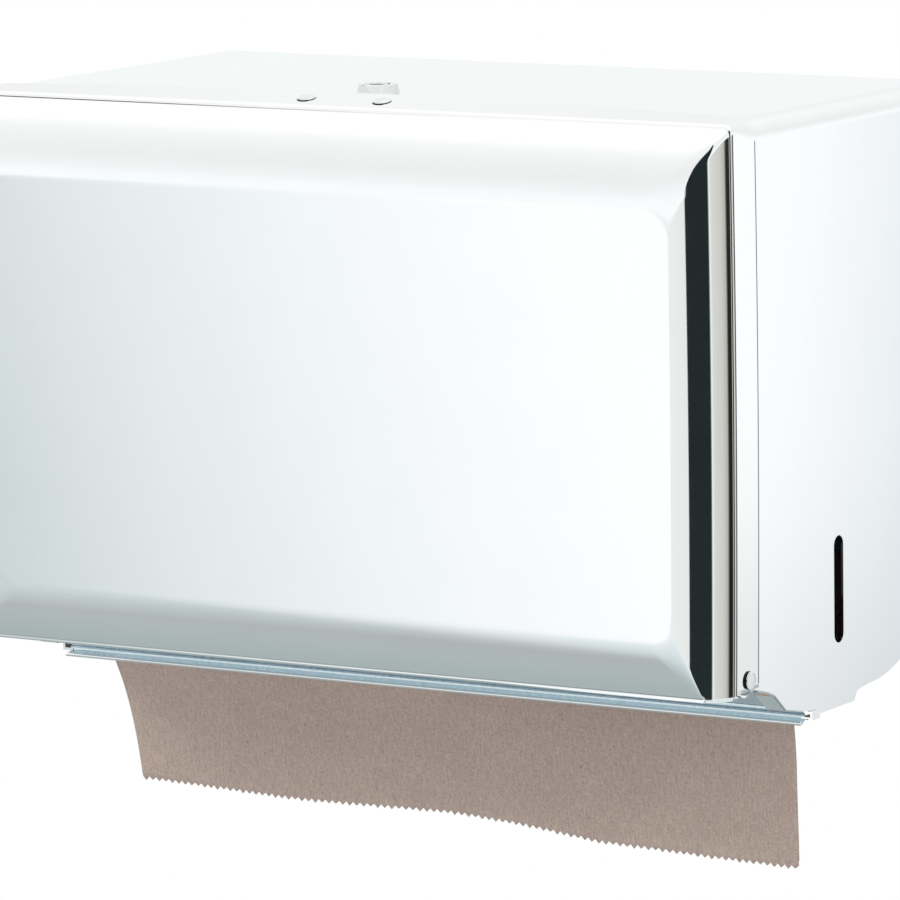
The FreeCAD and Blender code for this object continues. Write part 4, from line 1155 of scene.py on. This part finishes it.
# The band's own heights. It leans: its azimuth moves on with the height over its level, by a part that
# goes with the azimuth's cosine and a fixed part
BAND_EDGES = [(-13.0, 0.0), (-12.2, 1.0), (-4.6, 1.0), (-3.6, 0.0)]
BAND_LEVEL = -7.5
BAND_LEAN = (0.25, 0.1)
# The right part of the band darkens downwards, and the left part goes on under the band
RIGHT_PART = [(98.0, 0.0), (104.0, 1.0)]
RIGHT_SHADE = [(-10.6, 0.86), (-10.3, 0.88), (-9.7, 0.935), (-8.9, 0.99), (-8.3, 1.0)]
LEFT_PART = [(-60.0, 0.0), (-50.0, 1.0), (-24.0, 1.0), (-22.0, 0.0)]
LEFT_SHADE = [(-21.0, 0.71), (-12.0, 1.0)]
UNDER = [(-9.0, 1.0), (-8.0, 0.0)]

# The flag above the band: its upper and lower edge, in degrees of height by azimuth
FLAG = "#22292B"
FLAG_TOP = [
    (-7.5, -8.0), (-6.6, 4.5), (-4.4, 9.3), (-1.7, 11.9), (2.2, 14.5), (9.4, 17.0), (20.0, 19.5),
    (25.0, 26.0), (28.5, 26.0), (32.3, 23.0), (37.9, 10.7), (42.6, 0.8), (43.1, -4.5), (43.4, -8.0),
    (43.8, -13.5),
]
FLAG_FOOT = [(-6.6, 3.0), (-4.7, 0.2), (0.9, -3.5), (4.5, -5.5), (5.6, -8.0), (6.4, -12.5)]
FLAG_BLUR = 1.0

# A dark bar behind the object draws the line along the top's rear border: its heights, the azimuths
# that it is on, and how far it reaches by the direction's x
REAR_BAR = [(29.5, 0.0), (30.5, 1.0), (40.5, 1.0), (43.0, 0.0)]
REAR_PART = [(-100.0, 1.0), (-90.0, 0.0)]
REAR_REACH = [(-0.55, 0.9), (-0.539, 0.66), (-0.523, 0.22), (-0.512, 0.08), (-0.5, 0.0)]

# Strength of the light in reflections, and colour and strength of the soft light on matt things
REFLECTED = 1.09
SOFT_COLOUR = "#F4F6F8"
SOFT = 0.72
WHITE = (1.0, 1.0, 1.0, 1.0)

# Lamps: name, place in metres, power in watts and width in metres
LAMPS = [("key_light", (-1.1, -1.7, 1.5), 34.0, 1.3), ("fill_light", (1.6, -1.2, 0.6), 14.0, 1.2)]

# Distance in metres at which the floor starts to fade, and the share of its radius where it ends
FLOOR_FADE = (0.9, 0.97)


def ramp_stops(stops, reach):
    """Stops of a ramp over -reach to reach; each shade is an sRGB hex code or a share of white."""
    return [((place + reach) / (2 * reach), linear(shade) if isinstance(shade, str) else (shade,) * 3)
            for place, shade in stops]


def studio_walls(tree, turn, leant_turn, rise):
    """Colours of the surround: the band over the heights, with the shades of its right and left parts."""
    band, heights, mask, right_shade, left_shade, under, right_part, left_part = (
        add_node(tree, "ValToRGB", {"Fac": value}, stops=ramp_stops(stops, reach))
        for value, reach, stops in (
            (leant_turn, 180, BAND), (rise, 90, HEIGHTS), (rise, 90, BAND_EDGES), (rise, 90, RIGHT_SHADE),
            (rise, 90, LEFT_SHADE), (rise, 90, UNDER), (turn, 180, RIGHT_PART), (turn, 180, LEFT_PART)))
    band = add_node(tree, "Mix", {0: right_part, 6: band, 7: right_shade}, data_type="RGBA",
                    blend_type="MULTIPLY").outputs[2]
    left_under = add_node(tree, "Math", {0: left_part, 1: under}, operation="MULTIPLY")
    left_band = add_node(tree, "Mix", {0: 1.0, 6: band, 7: left_shade}, data_type="RGBA",
                         blend_type="MULTIPLY").outputs[2]
    walls = add_node(tree, "Mix", {0: left_under, 6: heights, 7: left_band}, data_type="RGBA",
                     blend_type="DARKEN").outputs[2]
    return add_node(tree, "Mix", {0: mask, 6: walls, 7: band}, data_type="RGBA").outputs[2]


def studio_darks(tree, turn, rise, sideways):
    """Share of dark in the surround: between the flag's two edges, and on the bar behind the object."""
    edges = []
    for line in (FLAG_TOP, FLAG_FOOT):
        stops = [(degrees, (height + 90) / 180) for degrees, height in line]
        level = add_node(tree, "ValToRGB", {"Fac": turn}, stops=ramp_stops(stops, 180))
        over = add_node(tree, "Math", {0: level, 1: rise}, operation="SUBTRACT")
        edges.append(add_node(tree, "MapRange", {
            "Value": over, "From Min": -FLAG_BLUR / 180, "From Max": FLAG_BLUR / 180}))
    flag = add_node(tree, "Math", {0: edges[0], 1: edges[1]}, operation="SUBTRACT", use_clamp=True)
    bar = add_node(tree, "ValToRGB", {"Fac": rise}, stops=ramp_stops(REAR_BAR, 90))
    for value, reach, stops in ((turn, 180, REAR_PART), (sideways, 1, REAR_REACH)):
        part = add_node(tree, "ValToRGB", {"Fac": value}, stops=ramp_stops(stops, reach))
        bar = add_node(tree, "Math", {0: bar, 1: part}, operation="MULTIPLY")
    return add_node(tree, "Math", {0: flag, 1: bar}, operation="MAXIMUM")


def make_world():
    """Plain soft light for matt things, a white surround for the camera, and the studio for reflections."""
    world = bpy.data.worlds.new("studio")
    bpy.context.scene.world = world
    world.use_nodes = True
    tree = world.node_tree
    tree.nodes.clear()
    direction = add_node(tree, "TexCoord").outputs["Generated"]
    parts = add_node(tree, "SeparateXYZ", {"Vector": direction})
    back = add_node(tree, "Math", {0: parts.outputs["Y"], 1: -1.0}, operation="MULTIPLY")
    azimuth = add_node(tree, "Math", {0: parts.outputs["X"], 1: back}, operation="ARCTAN2")
    elevation = add_node(tree, "Math", {0: parts.outputs["Z"]}, operation="ARCSINE")
    facing = add_node(tree, "Math", {0: azimuth}, operation="COSINE")
    lean = add_node(tree, "Math", {0: facing, 1: BAND_LEAN[0], 2: BAND_LEAN[1]}, operation="MULTIPLY_ADD")
    height = add_node(tree, "Math", {0: elevation, 1: math.radians(-BAND_LEVEL)}, operation="ADD")
    leant = add_node(tree, "Math", {0: height, 1: lean, 2: azimuth}, operation="MULTIPLY_ADD")
    turn, leant_turn, rise, sideways = (
        add_node(tree, "MapRange", {"Value": value, "From Min": -reach, "From Max": reach})
        for value, reach in ((azimuth, math.pi), (leant, math.pi), (elevation, math.pi / 2),
                             (parts.outputs["X"], 1.0)))
    walls = studio_walls(tree, turn, leant_turn, rise)
    dark = studio_darks(tree, turn, rise, sideways)
    studio = add_node(tree, "Mix", {0: dark, 6: walls, 7: (*linear(FLAG), 1.0)}, data_type="RGBA").outputs[2]
    rays = add_node(tree, "LightPath")
    reflected, soft, plain = (
        add_node(tree, "Background", {"Color": light, "Strength": strength})
        for light, strength in ((studio, REFLECTED), ((*linear(SOFT_COLOUR), 1.0), SOFT), (WHITE, 1.0)))
    lit = add_node(tree, "MixShader", {0: rays.outputs["Is Glossy Ray"], 1: soft, 2: reflected})
    shown = add_node(tree, "MixShader", {0: rays.outputs["Is Camera Ray"], 1: lit, 2: plain})
    add_node(tree, "OutputWorld", {"Surface": shown})


def floor_material(studio):
    """Pale matt floor that fades to the plain white surround, and that reflections look through."""
    material, tree = new_material("pale_floor")
    place = add_node(tree, "TexCoord").outputs["Object"]
    away = add_node(tree, "VectorMath", {0: place}, operation="LENGTH").outputs["Value"]
    fade = add_node(tree, "MapRange", {
        "Value": away, "From Min": FLOOR_FADE[0], "From Max": studio.floor_radius * FLOOR_FADE[1]},
        interpolation_type="SMOOTHSTEP")
    matt = add_node(tree, "BsdfDiffuse", {"Color": (*studio.floor, 1.0)})
    white = add_node(tree, "Emission", {"Color": WHITE, "Strength": 1.0})
    clear = add_node(tree, "BsdfTransparent")
    mixed = add_node(tree, "MixShader", {0: fade, 1: matt, 2: white})
    rays = add_node(tree, "LightPath")
    seen = add_node(tree, "MixShader", {0: rays.outputs["Is Glossy Ray"], 1: mixed, 2: clear})
    add_node(tree, "OutputMaterial", {"Surface": seen})
    return material


def make_floor(settings):
    """The floor, a disc of rings well under the dispenser."""
    studio = settings.studio
    steps = 96
    radii = np.linspace(0, studio.floor_radius / MM, 9)[1:]
    turn = np.linspace(0, 2 * math.pi, steps, endpoint=False)
    ring = np.stack([np.cos(turn), np.sin(turn)], -1)
    flat = (radii[:, None, None] * ring[None]).reshape(-1, 2)
    level = studio.floor_level / MM
    points = np.column_stack([flat, np.full(len(flat), level)])
    points = np.concatenate([points, [[0.0, 0.0, level]]])
    quads = grid_faces(len(radii), steps, wrap=True)[:, ::-1]
    inner = np.arange(steps)
    fan = np.stack([inner, np.roll(inner, -1), np.full(steps, len(points) - 1)], -1)
    floor = add_piece("pale_floor", points, quads.tolist() + fan.tolist())
    coat(floor, [floor_material(studio)])


def add_lamp(name, place, power, size):
    """A soft square lamp at a place in metres, aimed at the dispenser and left out of reflections."""
    light = bpy.data.lights.new(name, "AREA")
    light.energy = power
    light.size = size
    lamp = add_object(name, light)
    lamp.location = place
    aim = Vector(VIEW_TARGET) * MM - Vector(place)
    lamp.rotation_euler = aim.to_track_quat("-Z", "Y").to_euler()
    lamp.visible_glossy = False


def make_camera(settings):
    """Camera at the photograph's angle: its axes come from the azimuth, the elevation and the roll."""
    studio = settings.studio
    turn, rise, roll = studio.azimuth, studio.elevation, studio.roll
    back = Vector((math.sin(turn) * math.cos(rise), -math.cos(turn) * math.cos(rise), math.sin(rise)))
    level_right = Vector((math.cos(turn), math.sin(turn), 0.0))
    level_up = back.cross(level_right)
    right = level_right * math.cos(roll) + level_up * math.sin(roll)
    up = level_up * math.cos(roll) - level_right * math.sin(roll)
    camera = bpy.data.cameras.new("camera")
    camera.sensor_width = SENSOR
    camera.lens = FOCAL_PIXELS / IMAGE_WIDTH * SENSOR
    camera.clip_start = 0.05
    camera.clip_end = 50.0
    holder = add_object("camera", camera)
    place = (Vector(VIEW_TARGET) + back * VIEW_DISTANCE) * MM
    holder.matrix_world = Matrix.Translation(place) @ Matrix((right, up, back)).transposed().to_4x4()
    bpy.context.scene.camera = holder


def make_studio(settings):
    """Floor, lamps, surround and camera."""
    make_world()
    make_floor(settings)
    for name, place, power, size in LAMPS:
        add_lamp(name, place, power, size)
    make_camera(settings)
    bpy.context.scene.view_settings.view_transform = "Standard"


def sheet_metals(settings):
    """Polished face, inner face and sheared edge, made once and shared."""
    names = ("polished_stainless", "mill_finish_stainless", "sheared_edge")
    if names[0] not in bpy.data.materials:
        polished_steel(settings.sheet)
        mill_steel(settings.sheet)
        plated_metal(names[2], settings.sheet.sheared, least=0.25, most=0.4, grain=0.4)
    return [bpy.data.materials[name] for name in names]


class DISPENSER_OT_cabinet(bpy.types.Operator):
    """Makes the cabinet wrap and the back sheet"""

    bl_idname = "dispenser.cabinet"
    bl_label = "Cabinet and back"

    def execute(self, context):
        settings = context.scene.dispenser
        polished, mill, sheared = sheet_metals(settings)
        make_cabinet(settings, [polished, mill, sheared])
        make_back(settings, [mill, sheared])
        return {"FINISHED"}


class DISPENSER_OT_door(bpy.types.Operator):
    """Makes the door pressing"""

    bl_idname = "dispenser.door"
    bl_label = "Door"

    def execute(self, context):
        settings = context.scene.dispenser
        make_door(settings, sheet_metals(settings))
        return {"FINISHED"}


class DISPENSER_OT_ledges(bpy.types.Operator):
    """Makes the front towel ledge and the rear lip of the mouth"""

    bl_idname = "dispenser.ledges"
    bl_label = "Ledge and lip"

    def execute(self, context):
        settings = context.scene.dispenser
        polished = sheet_metals(settings)[0]
        satin = plated_metal("satin_ledge_steel", settings.lock.ledge, least=0.2, most=0.27, grain=1.4)
        make_ledge(settings, [polished, satin])
        make_rear_lip(settings, [polished])
        return {"FINISHED"}


class DISPENSER_OT_hardware(bpy.types.Operator):
    """Makes the rivets and the lock and finishes the small hardware"""

    bl_idname = "dispenser.hardware"
    bl_label = "Rivets, lock and hardware"

    def execute(self, context):
        settings = context.scene.dispenser
        metals = {key: plated_metal(name, getattr(settings.lock, key), *finish)
                  for key, (name, *finish) in PLATINGS.items()}
        # The rivets' second metal is the painted shade for the walls of their heads
        make_rivets(settings, [metals["nickel"], metals["seam"]])
        make_lock(settings, metals["chrome"])
        finish_nodes(metals)
        return {"FINISHED"}


class DISPENSER_OT_towels(bpy.types.Operator):
    """Makes the towel that hangs out and the stack above it"""

    bl_idname = "dispenser.towels"
    bl_label = "Towels"

    def execute(self, context):
        settings = context.scene.dispenser
        paper = kraft_paper(settings.towels)
        make_stack(settings, paper)
        make_hanging_towel(settings, paper)
        return {"FINISHED"}


class DISPENSER_OT_studio(bpy.types.Operator):
    """Makes the floor, the light and the camera"""

    bl_idname = "dispenser.studio"
    bl_label = "Studio"

    def execute(self, context):
        make_studio(context.scene.dispenser)
        return {"FINISHED"}


PIECE_OPERATORS = (
    DISPENSER_OT_cabinet, DISPENSER_OT_door, DISPENSER_OT_ledges, DISPENSER_OT_hardware,
    DISPENSER_OT_towels, DISPENSER_OT_studio,
)


class DISPENSER_PT_panel(bpy.types.Panel):
    """Lists the steps that make the dispenser"""

    bl_label = "Towel dispenser"
    bl_idname = "DISPENSER_PT_panel"
    bl_space_type = "VIEW_3D"
    bl_region_type = "UI"
    bl_category = "Dispenser"

    def draw(self, context):
        for operator in PIECE_OPERATORS:
            self.layout.operator(operator.bl_idname)


GROUPS = (SheetSettings, DoorSettings, LockSettings, TowelSettings, StudioSettings, DispenserSettings)
CLASSES = GROUPS + PIECE_OPERATORS + (DISPENSER_PT_panel,)


def register():
    """Registers the classes and the scene's settings."""
    for entry in CLASSES:
        bpy.utils.register_class(entry)
    bpy.types.Scene.dispenser = PointerProperty(type=DispenserSettings)


def unregister():
    """Takes the settings and the classes away again."""
    del bpy.types.Scene.dispenser
    for entry in reversed(CLASSES):
        bpy.utils.unregister_class(entry)


def main():
    """Makes every piece in order."""
    register()
    bpy.ops.dispenser.cabinet()
    bpy.ops.dispenser.door()
    bpy.ops.dispenser.ledges()
    bpy.ops.dispenser.hardware()
    bpy.ops.dispenser.towels()
    bpy.ops.dispenser.studio()


if __name__ == "__main__":
    main()
